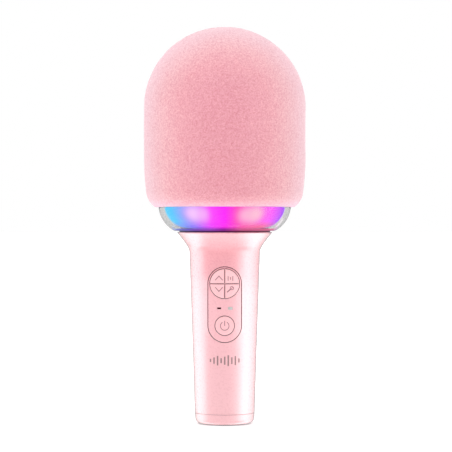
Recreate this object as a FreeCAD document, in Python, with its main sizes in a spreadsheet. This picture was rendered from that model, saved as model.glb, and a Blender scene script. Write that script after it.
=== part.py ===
"""Wireless karaoke microphone, modelled standing on its base.

Millimetres. +Z up, origin at the centre of the resting face of the bottom cap, control panel
facing -Y. Driving sizes are cells of the sheet "dims"; sketches, primitives and placements
are bound to those cells. Sections of turned pieces are lists of (radius, height).
"""

import FreeCAD
import Part
import math
import os

import Sketcher

Vector = FreeCAD.Vector
Rotation = FreeCAD.Rotation

doc = FreeCAD.newDocument("karaoke_microphone")
sheet = doc.addObject("Spreadsheet::Sheet", "dims")

# ---------------------------------------------------------------- driving dimensions

# alias, value, meaning
SIZES = [
    # foam windscreen
    ("foam_rad", 48.55, "outer radius of the foam windscreen"),
    ("dome_z", 189.4, "height of the centre of the domes inside the head"),
    ("foam_dome_z", 188.85, "height of the centre of the foam's outer dome"),
    ("foam_low_z", 129.5, "flat lower face of the foam"),
    ("foam_wall", 9.75, "wall of the foam"),
    ("foam_waist_z", 160.0, "height where the foam starts to draw in"),
    ("foam_hip_rad", 47.2, "radius where the lower roll starts"),
    ("foam_hip_z", 139.5, "height where the lower roll starts"),
    ("foam_hem_rad", 42.0, "radius where the lower roll meets the flat face"),
    ("foam_waist_arc", 160.0, "radius of the long arc that draws the side in"),
    ("foam_hip_arc", 13.0, "radius of the lower roll"),
    # grille
    ("cage_rad", 38.4, "outer radius of the grille cage"),
    ("cage_wall", 1.6, "wall of the grille cage"),
    ("cage_low_z", 131.55, "lower edge of the grille cage"),
    ("slot_w", 3.4, "width of a slot in the grille cage"),
    ("liner_rad", 36.65, "outer radius of the mesh liner"),
    ("liner_wall", 0.4, "thickness of the mesh liner"),
    ("liner_low_z", 137.4, "lower edge of the mesh liner"),
    # light bowl
    ("arc_x", 22.0, "radius at which the bowl's round section is centred"),
    ("arc_z", 130.9, "height at which the bowl's round section is centred"),
    ("bowl_arc", 17.7, "radius of the bowl's outer section"),
    ("bowl_wall", 2.6, "wall of the clear bowl"),
    ("rim_z", 129.4, "rim of the clear bowl"),
    ("bowl_low_z", 115.2, "underside of the clear bowl"),
    ("bowl_floor", 1.2, "floor of the clear bowl"),
    ("bowl_hole", 8.5, "radius of the cable hole in the bowl's floor"),
    ("diff_arc", 14.45, "radius of the diffuser's outer section"),
    ("diff_wall", 1.3, "wall of the diffuser"),
    ("diff_low_z", 116.5, "underside of the diffuser"),
    ("diff_hole", 19.0, "radius of the hole in the diffuser's floor"),
    # speaker chamber
    ("cup_rad", 25.6, "outer radius of the speaker chamber"),
    ("cup_wall", 2.0, "wall of the speaker chamber"),
    ("cup_low_z", 118.65, "underside of the speaker chamber"),
    ("cup_top_z", 146.0, "top of the speaker chamber"),
    ("deck_z", 129.5, "underside of the deck round the chamber"),
    ("deck_t", 2.0, "thickness of the deck"),
    ("deck_rad", 38.3, "outer radius of the deck"),
    ("lip_rad", 36.7, "outer radius of the lip the cage is screwed to"),
    ("lip_wall", 1.5, "thickness of that lip"),
    ("lip_top_z", 136.4, "top of that lip"),
    ("stack_rad", 14.0, "radius of the circle of head screws"),
    # handle
    ("wall", 2.0, "wall of the handle barrel"),
    ("seam_z", 6.5, "lower edge of the barrel"),
    ("foot_rad", 17.95, "outer radius of the barrel at its lower edge"),
    ("neck_rad", 21.2, "outer radius of the barrel at the top of the grip"),
    ("neck_z", 101.97, "top of the straight grip"),
    ("flare_rad", 28.5, "outer radius of the flare's rim"),
    ("flare_z", 114.5, "top of the flare"),
    ("seat_rad", 24.0, "radius of the raised seat the bowl stands on"),
    ("plate_t", 2.6, "thickness of the plate across the top of the barrel"),
    # bottom cap
    ("cap_z", 6.38, "top edge of the bottom cap's skirt"),
    ("cap_rad", 17.94, "outer radius of the cap at that edge"),
    ("base_rad", 14.4, "radius of the resting face"),
    ("cap_arc", 3.5, "roll of the cap's lower edge"),
    ("cap_floor", 2.4, "top of the cap's floor"),
    ("dish_rad", 11.8, "radius of the dished middle of the base"),
    ("dish_t", 0.6, "depth of the dish"),
    # control panel
    ("panel_rad", 10.16, "radius of the ends of the panel opening in the barrel"),
    ("panel_gap", 0.42, "line between panel and barrel"),
    ("panel_t", 2.9, "depth of the panel plate"),
    ("flange_rad", 11.3, "radius of the panel's hidden flange"),
    ("keys_z", 84.1, "height of the centre of the four-key circle"),
    ("power_z", 59.3, "height of the centre of the power key"),
    ("keys_rad", 9.02, "radius of the hole for the four keys"),
    ("power_rad", 5.95, "radius of the hole for the power key"),
    ("key_gap", 0.36, "line between a key and the panel"),
    ("cross_gap", 0.56, "line between neighbouring keys"),
    ("rib_w", 0.36, "width of the panel's rib between neighbouring keys"),
    ("rib_sink", 0.12, "how deep that rib lies below the panel's surface"),
    ("key_proud", 0.4, "how far a key stands out of the panel"),
    ("key_flange", 1.0, "how far a key's hidden flange reaches past the hole"),
    ("lamp_z", 69.6, "height of the two indicator windows"),
    ("lamp_x", 3.3, "sideways place of each indicator window"),
    # electronics
    ("board_y", 10.5, "distance of the main board's front face from the axis"),
    ("board_t", 1.2, "thickness of the main board"),
    ("board_w", 20.0, "width of the main board"),
    ("board_low_z", 14.0, "lower end of the main board"),
    ("board_top_z", 100.0, "upper end of the main board"),
    ("switch_h", 3.3, "height of a key switch's body"),
    ("switch_w", 4.5, "width of a key switch"),
    ("press_y", 15.2, "distance of the key feet from the axis"),
    ("cell_rad", 9.1, "radius of the battery cell"),
    ("cell_y", 2.5, "distance of the cell's axis behind the handle's axis"),
    ("cell_low_z", 18.6, "lower end of the cell"),
    ("cell_len", 65.0, "length of the cell"),
    ("rail_y", 8.9, "distance of the chassis plate's front face from the axis"),
    ("rail_t", 1.8, "thickness of the chassis plate"),
    ("rail_fit", 0.25, "clearance between chassis and barrel"),
    # speaker
    ("frame_rad", 25.2, "outer radius of the speaker frame"),
    ("cone_rad", 18.6, "outer radius of the speaker cone"),
    ("coil_rad", 6.5, "outer radius of the voice coil"),
    ("magnet_rad", 15.0, "outer radius of the speaker magnet"),
    # light strip
    ("led_z", 124.0, "height of the row of lamps"),
    ("led_size", 5.0, "width of a lamp package"),
    # capsule
    ("capsule_rad", 7.0, "radius of the microphone capsule"),
]


class Dim:
    """A length that knows its value and the sheet expression it comes from."""

    def __init__(self, value, text=None):
        self.value = float(value)
        self.bound = text is not None
        self.text = text if self.bound else repr(round(self.value, 6))

    def _mix(self, other, sign, value):
        mixed = Dim(value, "(%s %s %s)" % (self.text, sign, other.text))
        mixed.bound = self.bound or other.bound
        return mixed

    def __add__(self, other):
        other = dim(other)
        return self._mix(other, "+", self.value + other.value)

    def __radd__(self, other):
        return dim(other) + self

    def __sub__(self, other):
        other = dim(other)
        return self._mix(other, "-", self.value - other.value)

    def __rsub__(self, other):
        return dim(other) - self

    def __mul__(self, other):
        other = dim(other)
        return self._mix(other, "*", self.value * other.value)

    def __truediv__(self, other):
        other = dim(other)
        return self._mix(other, "/", self.value / other.value)

    def __neg__(self):
        return dim(0) - self


def dim(length):
    return length if isinstance(length, Dim) else Dim(length)


def root(square):
    result = Dim(math.sqrt(square.value), "sqrt(%s)" % square.text)
    result.bound = square.bound
    return result


class SheetSizes:
    """Holds every driving size as a Dim, under its alias."""


dims = SheetSizes()
for row, (alias, value, note) in enumerate(SIZES, start=1):
    sheet.set("A%d" % row, alias)
    sheet.set("B%d" % row, str(value))
    sheet.setAlias("B%d" % row, alias)
    sheet.set("C%d" % row, note)
    setattr(dims, alias, Dim(value, "dims." + alias))
doc.recompute()


def bind(obj, prop, length):
    """Sets a property to a length, and binds it to the sheet when it comes from there."""
    length = dim(length)
    if length.bound:
        obj.setExpression(prop, length.text)
    elif "." in prop:
        holder, _, axis = prop.split(".")
        placement = getattr(obj, holder)
        base = placement.Base
        setattr(base, axis, length.value)
        setattr(obj, holder, FreeCAD.Placement(base, placement.Rotation))
    else:
        setattr(obj, prop, length.value)


# ---------------------------------------------------------------- shared places and fits

UPRIGHT = Rotation()
HEAD_TO_FRONT = Rotation(Vector(1, 0, 0), 90)  # turns +Z towards -Y
HEAD_DOWN = Rotation(Vector(1, 0, 0), 180)

TOOL_FRONT, TOOL_BACK = -30, -5  # y reach of the tools that shape the control panel

SCREW_LIFT = 0.03  # gap under a screw's head
LIP_SCREW_Z = 134.0  # screws through the cage into the lip
SPEAKER_SCREW = 23.4 / math.sqrt(2)  # x and y of a speaker screw
BRIDGE_ANGLES = (30, 150, 270)
BRIDGE_SCREW_RAD = 32.9
CHASSIS_SCREWS = [(-12.5, 3.0), (12.5, 3.0)]  # x, y
CHASSIS_SEAT_DEPTH = 1.65  # screw head seat below the underside of the bowl
CAP_SCREWS = [(-8.2, -3.0), (8.2, -3.0)]  # x, y
CAP_SEAT = 2.4  # depth of the screw head seat in the cap
BOARD_SCREWS = [(-8.2, 27.0), (8.2, 27.0), (-8.2, 92.0), (8.2, 92.0)]  # x, z
PLUG_XS = (-6.6, 0.0, 6.6)

deck_top = dims.deck_z + dims.deck_t
plate_low = dims.bowl_low_z - dims.plate_t  # underside of the barrel's top plate
chassis_top = plate_low - 0.05
board_front = -dims.board_y
rail_front = -dims.rail_y
cell_top = dims.cell_low_z + dims.cell_len

# centre of each key's foot and switch: x, z
KEY_REACH = 4.0  # from the centre of the key circle, along x and along z
PRESS = {
    "key_up": (-KEY_REACH, dims.keys_z + KEY_REACH),
    "key_mode": (KEY_REACH, dims.keys_z + KEY_REACH),
    "key_down": (-KEY_REACH, dims.keys_z - KEY_REACH),
    "key_voice": (KEY_REACH, dims.keys_z - KEY_REACH),
    "power_key": (0.0, dims.power_z),
}

# indicator windows: side along x, half width and half height of the opening
WINDOWS = {"left": (-1, 1.15, 0.5), "right": (1, 1.3, 0.8)}

# charging socket, drawn about the axis: its section is a rounded slot lying along x
USB_END_X = 2.84  # centre of each round end
USB_SHELL_RAD = 1.63
USB_VOID_RAD = 1.33
USB_OPENING_RAD = 1.85
USB_LOW_Z, USB_TOP_Z = 0.9, 8.2

# ---------------------------------------------------------------- sketches

# sense in which the arc arriving at an outline point turns
CCW, CW = 1, -1


def pin_point(sk, geo, pos, x, y):
    """Fixes one point of a sketch at x, y."""
    for length, kind, axis in ((dim(x), "DistanceX", -2), (dim(y), "DistanceY", -1)):
        if abs(length.value) < 1e-9 and not length.bound:
            sk.addConstraint(Sketcher.Constraint("PointOnObject", geo, pos, axis))
            continue
        rule = sk.addConstraint(Sketcher.Constraint(kind, -1, 1, geo, pos, length.value))
        if length.bound:
            sk.setExpression("Constraints[%d]" % rule, length.text)


def fix_radius(sk, geo, radius):
    rule = sk.addConstraint(Sketcher.Constraint("Radius", geo, radius.value))
    if radius.bound:
        sk.setExpression("Constraints[%d]" % rule, radius.text)


def add_arc(sk, start, end, radius, sense):
    """An arc of up to half a turn. Returns its index and its start and end vertices."""
    (ax, ay), (bx, by) = start, end
    dx, dy = bx - ax, by - ay
    chord = math.hypot(dx, dy)
    off = math.sqrt(max(radius.value * radius.value - chord * chord / 4, 0.0))
    cx = (ax + bx) / 2 - dy / chord * sense * off
    cy = (ay + by) / 2 + dx / chord * sense * off
    first = math.atan2(ay - cy, ax - cx)
    last = math.atan2(by - cy, bx - cx)
    if sense == CW:
        first, last = last, first
    if last < first:
        last += 2 * math.pi
    circle = Part.Circle(Vector(cx, cy, 0), Vector(0, 0, 1), radius.value)
    geo = sk.addGeometry(Part.ArcOfCircle(circle, first, last), False)
    fix_radius(sk, geo, radius)
    return (geo, 1, 2) if sense == CCW else (geo, 2, 1)


def outline(sk, points):
    """A closed outline of points (x, y) or (x, y, radius, sense).

    With a radius, the edge that arrives at the point is an arc turning in that sense.
    """
    count = len(points)
    edges = []
    for k in range(count):
        goal = points[(k + 1) % count]
        start = (dim(points[k][0]).value, dim(points[k][1]).value)
        end = (dim(goal[0]).value, dim(goal[1]).value)
        if len(goal) == 2:
            line = Part.LineSegment(Vector(*start, 0), Vector(*end, 0))
            edges.append((sk.addGeometry(line, False), 1, 2))
        else:
            edges.append(add_arc(sk, start, end, dim(goal[2]), goal[3]))
    for k in range(count):
        geo, _, end = edges[k]
        following, start, _ = edges[(k + 1) % count]
        sk.addConstraint(Sketcher.Constraint("Coincident", geo, end, following, start))
    for (geo, start, _), point in zip(edges, points):
        pin_point(sk, geo, start, point[0], point[1])


def circles(sk, rounds):
    """Circles, each given as (x, y, radius)."""
    for x, y, radius in rounds:
        x, y, radius = dim(x), dim(y), dim(radius)
        circle = Part.Circle(Vector(x.value, y.value, 0), Vector(0, 0, 1), radius.value)
        geo = sk.addGeometry(circle, False)
        centred = abs(x.value) < 1e-9 and abs(y.value) < 1e-9
        if centred and not x.bound and not y.bound:
            sk.addConstraint(Sketcher.Constraint("Coincident", geo, 3, -1, 1))
        else:
            pin_point(sk, geo, 3, x, y)
        fix_radius(sk, geo, radius)


def rect(x0, y0, x1, y1):
    return [(x0, y0), (x1, y0), (x1, y1), (x0, y1)]


def rect_about(x, y, half_w, half_h):
    return rect(x - half_w, y - half_h, x + half_w, y + half_h)


def pill(z_low, z_high, r):
    """A stadium standing on end on x = 0; z_low and z_high are the centres of its ends."""
    return [
        (r, z_low, r, CCW),
        (r, z_high),
        (0, z_high + r, r, CCW),
        (-r, z_high, r, CCW),
        (-r, z_low),
        (0, z_low - r, r, CCW),
    ]


def polar_point(radius, angle, z=0.0):
    radius, angle = dim(radius).value, math.radians(angle)
    return (radius * math.cos(angle), radius * math.sin(angle), z)


NODES = []


def node(obj, label):
    """Marks a document object as one sub-part of the microphone."""
    obj.Label = label
    NODES.append((label, obj))


# ---------------------------------------------------------------- PartDesign helpers


def new_body(name):
    return doc.addObject("PartDesign::Body", name + "_body")


def origin_feature(body, role):
    return [f for f in body.Origin.OriginFeatures if f.Role == role][0]


def sketch(body, role, tag, offset=0):
    """A sketch on an origin plane, or standing off it along the plane's normal."""
    sk = body.newObject("Sketcher::SketchObject", tag)
    sk.AttachmentSupport = [(origin_feature(body, role), "")]
    sk.MapMode = "FlatFace"
    bind(sk, "AttachmentOffset.Base.z", offset)
    return sk


def revolve(name, section):
    """A body turned about Z from a closed outline in (radius, height)."""
    body = new_body(name)
    sk = sketch(body, "XZ_Plane", name + "_section")
    outline(sk, section)
    turn = body.newObject("PartDesign::Revolution", name + "_turned")
    turn.Profile = (sk, [""])
    turn.ReferenceAxis = (sk, ["V_Axis"])
    turn.Angle = 360
    body.Tip = turn
    return body


def turned_nodes(sections):
    """One plain turned sub-part for each label and section."""
    for label, section in sections.items():
        node(revolve(label, section), label)


def pad(body, tag, z_low, z_high, rounds):
    """Discs between two heights."""
    sk = sketch(body, "XY_Plane", tag + "_plan", z_low)
    circles(sk, rounds)
    feature = body.newObject("PartDesign::Pad", tag)
    feature.Profile = (sk, [""])
    bind(feature, "Length", dim(z_high) - z_low)
    body.Tip = feature
    return feature


def pocket(body, tag, depth, loops=(), rounds=(), plane="XY_Plane", offset=0, along=True):
    """A pocket cut along its sketch's normal, or against it.

    The normal is +Z on the XY plane and -Y on the XZ plane.
    """
    sk = sketch(body, plane, tag + "_sketch", offset)
    for loop in loops:
        outline(sk, loop)
    circles(sk, rounds)
    feature = body.newObject("PartDesign::Pocket", tag)
    feature.Profile = (sk, [""])
    feature.Reversed = along
    bind(feature, "Length", depth)
    body.Tip = feature
    return feature


def polar(body, features, count, tag):
    pattern = body.newObject("PartDesign::PolarPattern", tag)
    pattern.Originals = features
    pattern.Axis = (origin_feature(body, "Z_Axis"), [""])
    pattern.Angle = 360
    pattern.Occurrences = count
    body.Tip = pattern


def pocket_ring(body, tag, count, depth, **shape):
    """The same pocket repeated round the axis."""
    polar(body, [pocket(body, tag, depth, **shape)], count, tag + "s")


# ---------------------------------------------------------------- Part helpers


def box(name, x0, y0, z0, lx, ly, lz):
    block = doc.addObject("Part::Box", name)
    for prop, length in (("Length", lx), ("Width", ly), ("Height", lz)):
        bind(block, prop, length)
    for axis, length in (("x", x0), ("y", y0), ("z", z0)):
        bind(block, "Placement.Base." + axis, length)
    return block


def swung_box(name, corner, sizes, angle):
    """A box with its low corner at the given place, then swung about Z."""
    block = box(name, 0, 0, 0, *sizes)
    turn = Rotation(Vector(0, 0, 1), angle)
    low = Vector(*[dim(length).value for length in corner])
    block.Placement = FreeCAD.Placement(turn.multVec(low), turn)
    return block


def cyl(name, x, y, z, radius, height, along="z"):
    """A cylinder from (x, y, z). along: z up, y towards +Y, -y towards -Y."""
    rod = doc.addObject("Part::Cylinder", name)
    turn = {
        "z": UPRIGHT,
        "y": Rotation(Vector(1, 0, 0), -90),
        "-y": Rotation(Vector(1, 0, 0), 90),
    }[along]
    rod.Placement = FreeCAD.Placement(Vector(0, 0, 0), turn)
    bind(rod, "Radius", radius)
    bind(rod, "Height", height)
    for axis, length in (("x", x), ("y", y), ("z", z)):
        bind(rod, "Placement.Base." + axis, length)
    return rod


def turned(name, section):
    """A Part revolution about Z of one outline in (radius, height)."""
    sk = doc.addObject("Sketcher::SketchObject", name + "_section")
    sk.Placement = FreeCAD.Placement(Vector(0, 0, 0), Rotation(Vector(1, 0, 0), 90))
    outline(sk, section)
    turn = doc.addObject("Part::Revolution", name)
    turn.Source = sk
    turn.Axis = Vector(0, 0, 1)
    turn.Base = Vector(0, 0, 0)
    turn.Angle = 360
    turn.Solid = True
    return turn


def prism(name, loop, y_front=TOOL_FRONT, y_back=TOOL_BACK):
    """An outline in (x, z) carried along Y between two places."""
    sk = doc.addObject("Sketcher::SketchObject", name + "_front")
    sk.Placement = FreeCAD.Placement(Vector(0, y_back, 0), Rotation(Vector(1, 0, 0), 90))
    outline(sk, loop)
    block = doc.addObject("Part::Extrusion", name)
    block.Base = sk
    block.DirMode = "Custom"
    block.Dir = Vector(0, -1, 0)
    block.Solid = True
    block.LengthFwd = y_back - y_front
    return block


def front_disc(name, z, radius):
    """A round tool through the front wall of the handle."""
    return cyl(name, 0, TOOL_FRONT, z, radius, TOOL_BACK - TOOL_FRONT, "y")


def fuse(name, *objs):
    result = doc.addObject("Part::MultiFuse", name)
    result.Shapes = list(objs)
    return result


def common(name, *objs):
    result = doc.addObject("Part::MultiCommon", name)
    result.Shapes = list(objs)
    return result


def cut(name, base, tool):
    result = doc.addObject("Part::Cut", name)
    result.Base = base
    result.Tool = tool
    return result


def group(name, *objs):
    """Separate solids that share one node."""
    result = doc.addObject("Part::Compound", name)
    result.Links = list(objs)
    return result


# ---------------------------------------------------------------- screws

# head radius, head height, shank radius, length below the head
SCREWS = {
    "grille": (1.75, 0.32, 0.9, 3.2),
    "speaker": (1.65, 1.1, 0.72, 5.2),
    "bridge": (1.6, 1.1, 0.74, 3.6),
    "board": (1.7, 1.1, 0.9, 3.0),
    "chassis": (2.1, 1.4, 0.98, 7.6),
    "head": (2.8, 2.0, 1.27, 12.6),
    "cap": (2.1, 1.3, 0.96, 7.5),
}


def pan_screw(name, head_r, head_h, shank_r, length):
    """A pan-head screw pointing down, the underside of its head at z = 0."""
    body = revolve(
        name,
        [
            (0, -length),
            (shank_r * 0.55, -length),
            (shank_r, -length + shank_r),
            (shank_r, 0),
            (head_r, 0),
            (head_r, head_h * 0.55),
            (head_r * 0.62, head_h),
            (0, head_h),
        ],
    )
    arm = head_r * 0.52
    half = max(head_r * 0.14, 0.14)
    cross = [
        (-arm, -half), (-half, -half), (-half, -arm), (half, -arm), (half, -half), (arm, -half),
        (arm, half), (half, half), (half, arm), (-half, arm), (-half, half), (-arm, half),
    ]
    pocket(body, name + "_cross", head_h, loops=[cross], offset=head_h * 0.4)
    return body


def place(x, y, z, turn=UPRIGHT):
    return FreeCAD.Placement(Vector(*[dim(length).value for length in (x, y, z)]), turn)


def screws(kind, placements):
    """Copies of one kind of screw, as links in one compound."""
    source = pan_screw("screw_" + kind, *SCREWS[kind])
    links = []
    for k, placement in enumerate(placements):
        link = doc.addObject("App::Link", "%s_screws_group_%d" % (kind, k))
        link.LinkedObject = source
        link.LinkTransform = False
        link.Placement = placement
        links.append(link)
    node(group(kind + "_screws_group", *links), kind + "_screws")


# ---------------------------------------------------------------- foam, grille and liner


def make_foam():
    cave = dims.foam_rad - dims.foam_wall
    section = [
        (0, dims.dome_z + cave),
        (cave, dims.dome_z, cave, CW),
        (cave, dims.foam_low_z),
        (dims.foam_hem_rad, dims.foam_low_z),
        (dims.foam_hip_rad, dims.foam_hip_z, dims.foam_hip_arc, CCW),
        (dims.foam_rad, dims.foam_waist_z, dims.foam_waist_arc, CCW),
        (dims.foam_rad, dims.foam_dome_z),
        (0, dims.foam_dome_z + dims.foam_rad, dims.foam_rad, CCW),
    ]
    node(revolve("foam", section), "foam_windscreen")


def domed_shell(name, outer, wall, low_z):
    """A tube closed by a dome, open at its lower edge."""
    inner = outer - wall
    return revolve(
        name,
        [
            (0, dims.dome_z + inner),
            (inner, dims.dome_z, inner, CW),
            (inner, low_z),
            (outer, low_z),
            (outer, dims.dome_z),
            (0, dims.dome_z + outer, outer, CCW),
        ],
    )


# low end, high end, share of the full slot width
SLOT_ROWS = [
    (140.5, 153.5, 1.0), (156.5, 169.5, 1.0), (172.5, 185.5, 1.0), (188.5, 204.5, 1.0),
    (207.5, 217.5, 0.8),
]
SLOTS_ROUND = 24
CAGE_SCREWS_ROUND = 4


def make_cage():
    cage = domed_shell("cage", dims.cage_rad, dims.cage_wall, dims.cage_low_z)
    through = {"plane": "XZ_Plane", "along": False}
    rows = []
    for k, (low, high, share) in enumerate(SLOT_ROWS):
        half = dims.slot_w * share / 2
        slot = pill(low + half, high - half, half)
        rows.append(pocket(cage, "slot_row_%d" % k, 60, loops=[slot], **through))
    hole = pocket(cage, "cage_screw_hole", 60, rounds=[(0, LIP_SCREW_Z, 1.15)], **through)
    polar(cage, rows, SLOTS_ROUND, "slots_round")
    polar(cage, [hole], CAGE_SCREWS_ROUND, "screw_holes_round")
    node(cage, "grille_cage")


def make_liner():
    liner = domed_shell("liner", dims.liner_rad, dims.liner_wall, dims.liner_low_z)
    node(liner, "grille_mesh_liner")


def make_grille_screws():
    front = Vector(0, -(dims.cage_rad + 0.02).value, LIP_SCREW_Z)
    placements = []
    for k in range(CAGE_SCREWS_ROUND):
        turn = Rotation(Vector(0, 0, 1), k * 360 / CAGE_SCREWS_ROUND)
        placements.append(place(*turn.multVec(front), turn.multiply(HEAD_TO_FRONT)))
    screws("grille", placements)


# ---------------------------------------------------------------- clear bowl, diffuser


def on_arc(radius, z):
    """Distance from the axis, at height z, of the bowl's round section of that radius."""
    return dims.arc_x + root(radius * radius - (dims.arc_z - z) * (dims.arc_z - z))


def make_bowl():
    outer, low, rim = dims.bowl_arc, dims.bowl_low_z, dims.rim_z
    inner = outer - dims.bowl_wall
    floor_top = low + dims.bowl_floor
    bevel_w, bevel_h = 0.35, 0.3
    bowl = revolve(
        "bowl",
        [
            (dims.bowl_hole, low),
            (on_arc(outer, low) - bevel_w, low),
            (on_arc(outer, low + bevel_h), low + bevel_h),
            (on_arc(outer, rim - bevel_h), rim - bevel_h, outer, CCW),
            (on_arc(outer, rim) - bevel_w, rim),
            (on_arc(inner, rim), rim),
            (on_arc(inner, floor_top), floor_top, inner, CW),
            (dims.bowl_hole, floor_top),
        ],
    )
    screw = [(0, dims.stack_rad, 1.7)]
    pocket_ring(bowl, "bowl_screw_hole", 3, 6, rounds=screw, offset=low - 1)
    node(bowl, "clear_bowl")


def make_diffuser():
    outer, low = dims.diff_arc, dims.diff_low_z
    inner = outer - dims.diff_wall
    floor_top = low + 1.45
    rim = 129.2
    section = [
        (dims.diff_hole, low),
        (on_arc(outer, low), low),
        (on_arc(outer, rim), rim, outer, CCW),
        (on_arc(inner, rim), rim),
        (on_arc(inner, floor_top), floor_top, inner, CW),
        (dims.diff_hole, floor_top),
    ]
    node(revolve("diffuser", section), "light_diffuser")


# ---------------------------------------------------------------- speaker chamber


def radial_drill(name, angle, z, radius):
    """A drill through the chamber's wall, pointing away from the axis."""
    drill = cyl(name, 0, 0, 0, radius, 8)
    turn = Rotation(Vector(0, 0, 1), angle)
    outward = turn.multiply(Rotation(Vector(0, 1, 0), 90))
    drill.Placement = FreeCAD.Placement(turn.multVec(Vector(20, 0, z)), outward)
    return drill


def make_chamber():
    """The cup for the speaker, with the deck and the lip round it in one piece."""
    inner = dims.cup_rad - dims.cup_wall
    lip_inner = dims.lip_rad - dims.lip_wall
    floor_top = dims.cup_low_z + 2.0
    cable_rad, mouth_rad, bevel = 4.6, 21.4, 1.2
    cup = revolve(
        "cup",
        [
            (cable_rad, dims.cup_low_z),
            (dims.cup_rad - bevel, dims.cup_low_z),
            (dims.cup_rad, dims.cup_low_z + bevel),
            (dims.cup_rad, dims.deck_z),
            (dims.deck_rad, dims.deck_z),
            (dims.deck_rad, deck_top),
            (dims.lip_rad, deck_top),
            (dims.lip_rad, dims.lip_top_z),
            (lip_inner, dims.lip_top_z),
            (lip_inner, deck_top),
            (dims.cup_rad, deck_top),
            (dims.cup_rad, dims.cup_top_z),
            (mouth_rad, dims.cup_top_z),
            (mouth_rad, dims.cup_top_z - 3.0),
            (inner, dims.cup_top_z - 5.2),
            (inner, floor_top),
            (cable_rad, floor_top),
        ],
    )
    # feet that stand on the bowl's floor, bored for the head screws
    bowl_floor_top = dims.bowl_low_z + dims.bowl_floor
    stack = (0, dims.stack_rad)
    foot = pad(cup, "cup_foot", bowl_floor_top + 0.05, dims.cup_low_z + 1, [(*stack, 3.0)])
    bore = pocket(cup, "cup_screw_hole", 8, rounds=[(*stack, 1.7)], offset=dims.bowl_low_z)
    polar(cup, [foot, bore], 3, "cup_feet")
    # pilot holes for the speaker, the capsule bridge and the cage
    pilot = [(SPEAKER_SCREW, SPEAKER_SCREW, 0.8)]
    pocket_ring(cup, "speaker_screw_hole", 4, 6, rounds=pilot, offset=dims.cup_top_z - 5.0)
    x, y, _ = polar_point(BRIDGE_SCREW_RAD, BRIDGE_ANGLES[0])
    pocket_ring(cup, "bridge_screw_hole", 3, 5, rounds=[(x, y, 0.8)], offset=dims.deck_z - 1)
    # the sketch stands off the axis, so that the hole runs through the lip only
    pilot = [(0, LIP_SCREW_Z, 0.96)]
    pocket_ring(
        cup, "lip_screw_hole", CAGE_SCREWS_ROUND, 5, rounds=pilot, plane="XZ_Plane", offset=34.0
    )
    # cable passages: capsule cable above the deck, lamp lead below it
    holes = fuse(
        "cable_holes",
        radial_drill("capsule_cable_hole", 30, 138.0, 1.25),
        radial_drill("lamp_lead_hole", 150, 121.9, 0.95),
    )
    node(cut("chamber", cup, holes), "speaker_chamber")


GROMMET_SECTION = [
    (3.4, 117.9), (5.6, 117.9), (5.6, 118.6), (4.5, 118.6),
    (4.5, 120.7), (5.6, 120.7), (5.6, 121.4), (3.4, 121.4),
]

# ---------------------------------------------------------------- light strip

LAMP_COUNT = 7
LAMP_START = -28.4  # degrees from the front
LAMP_DEPTH = 1.5
LAMP_STANDOFF = 0.55  # from the chamber's wall to the back of a lamp

STRIP_SECTION = rect(
    dims.cup_rad + 0.1, dims.led_z - 3.2, dims.cup_rad + 0.4, dims.led_z + 3.6
)


def make_lamps():
    size = dims.led_size
    back_rad = dims.cup_rad + LAMP_STANDOFF
    corner = (-size / 2, -(back_rad + LAMP_DEPTH), dims.led_z - size / 2)
    lamps = [
        swung_box(
            "lamp_%d" % k, corner, (size, LAMP_DEPTH, size), LAMP_START + k * 360.0 / LAMP_COUNT
        )
        for k in range(LAMP_COUNT)
    ]
    node(group("lamps_group", *lamps), "lamp_chips")


# ---------------------------------------------------------------- speaker driver

FRAME_TOP_Z = 147.55
FRAME_SECTION = [
    (8.6, 136.55), (14.0, 136.55), (21.0, 144.6), (21.0, 146.35),
    (dims.frame_rad, 146.35), (dims.frame_rad, FRAME_TOP_Z),
    (20.5, FRAME_TOP_Z), (20.0, 146.9), (20.0, 145.2), (13.5, 137.55), (8.6, 137.55),
]
FRAME_WINDOW = [(-4.6, 139.2), (4.6, 139.2), (6.2, 144.0), (-6.2, 144.0)]  # x, z
SPEAKER_CLEAR = [(SPEAKER_SCREW, SPEAKER_SCREW, 1.1)]

# the dust cap is a slice of a spherical shell
DUST_RAD = 11.6
DUST_INNER = DUST_RAD - 0.5
DUST_CENTRE_Z = 130.7
DUST_EDGE, DUST_INNER_EDGE = 6.85, 6.35

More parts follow.
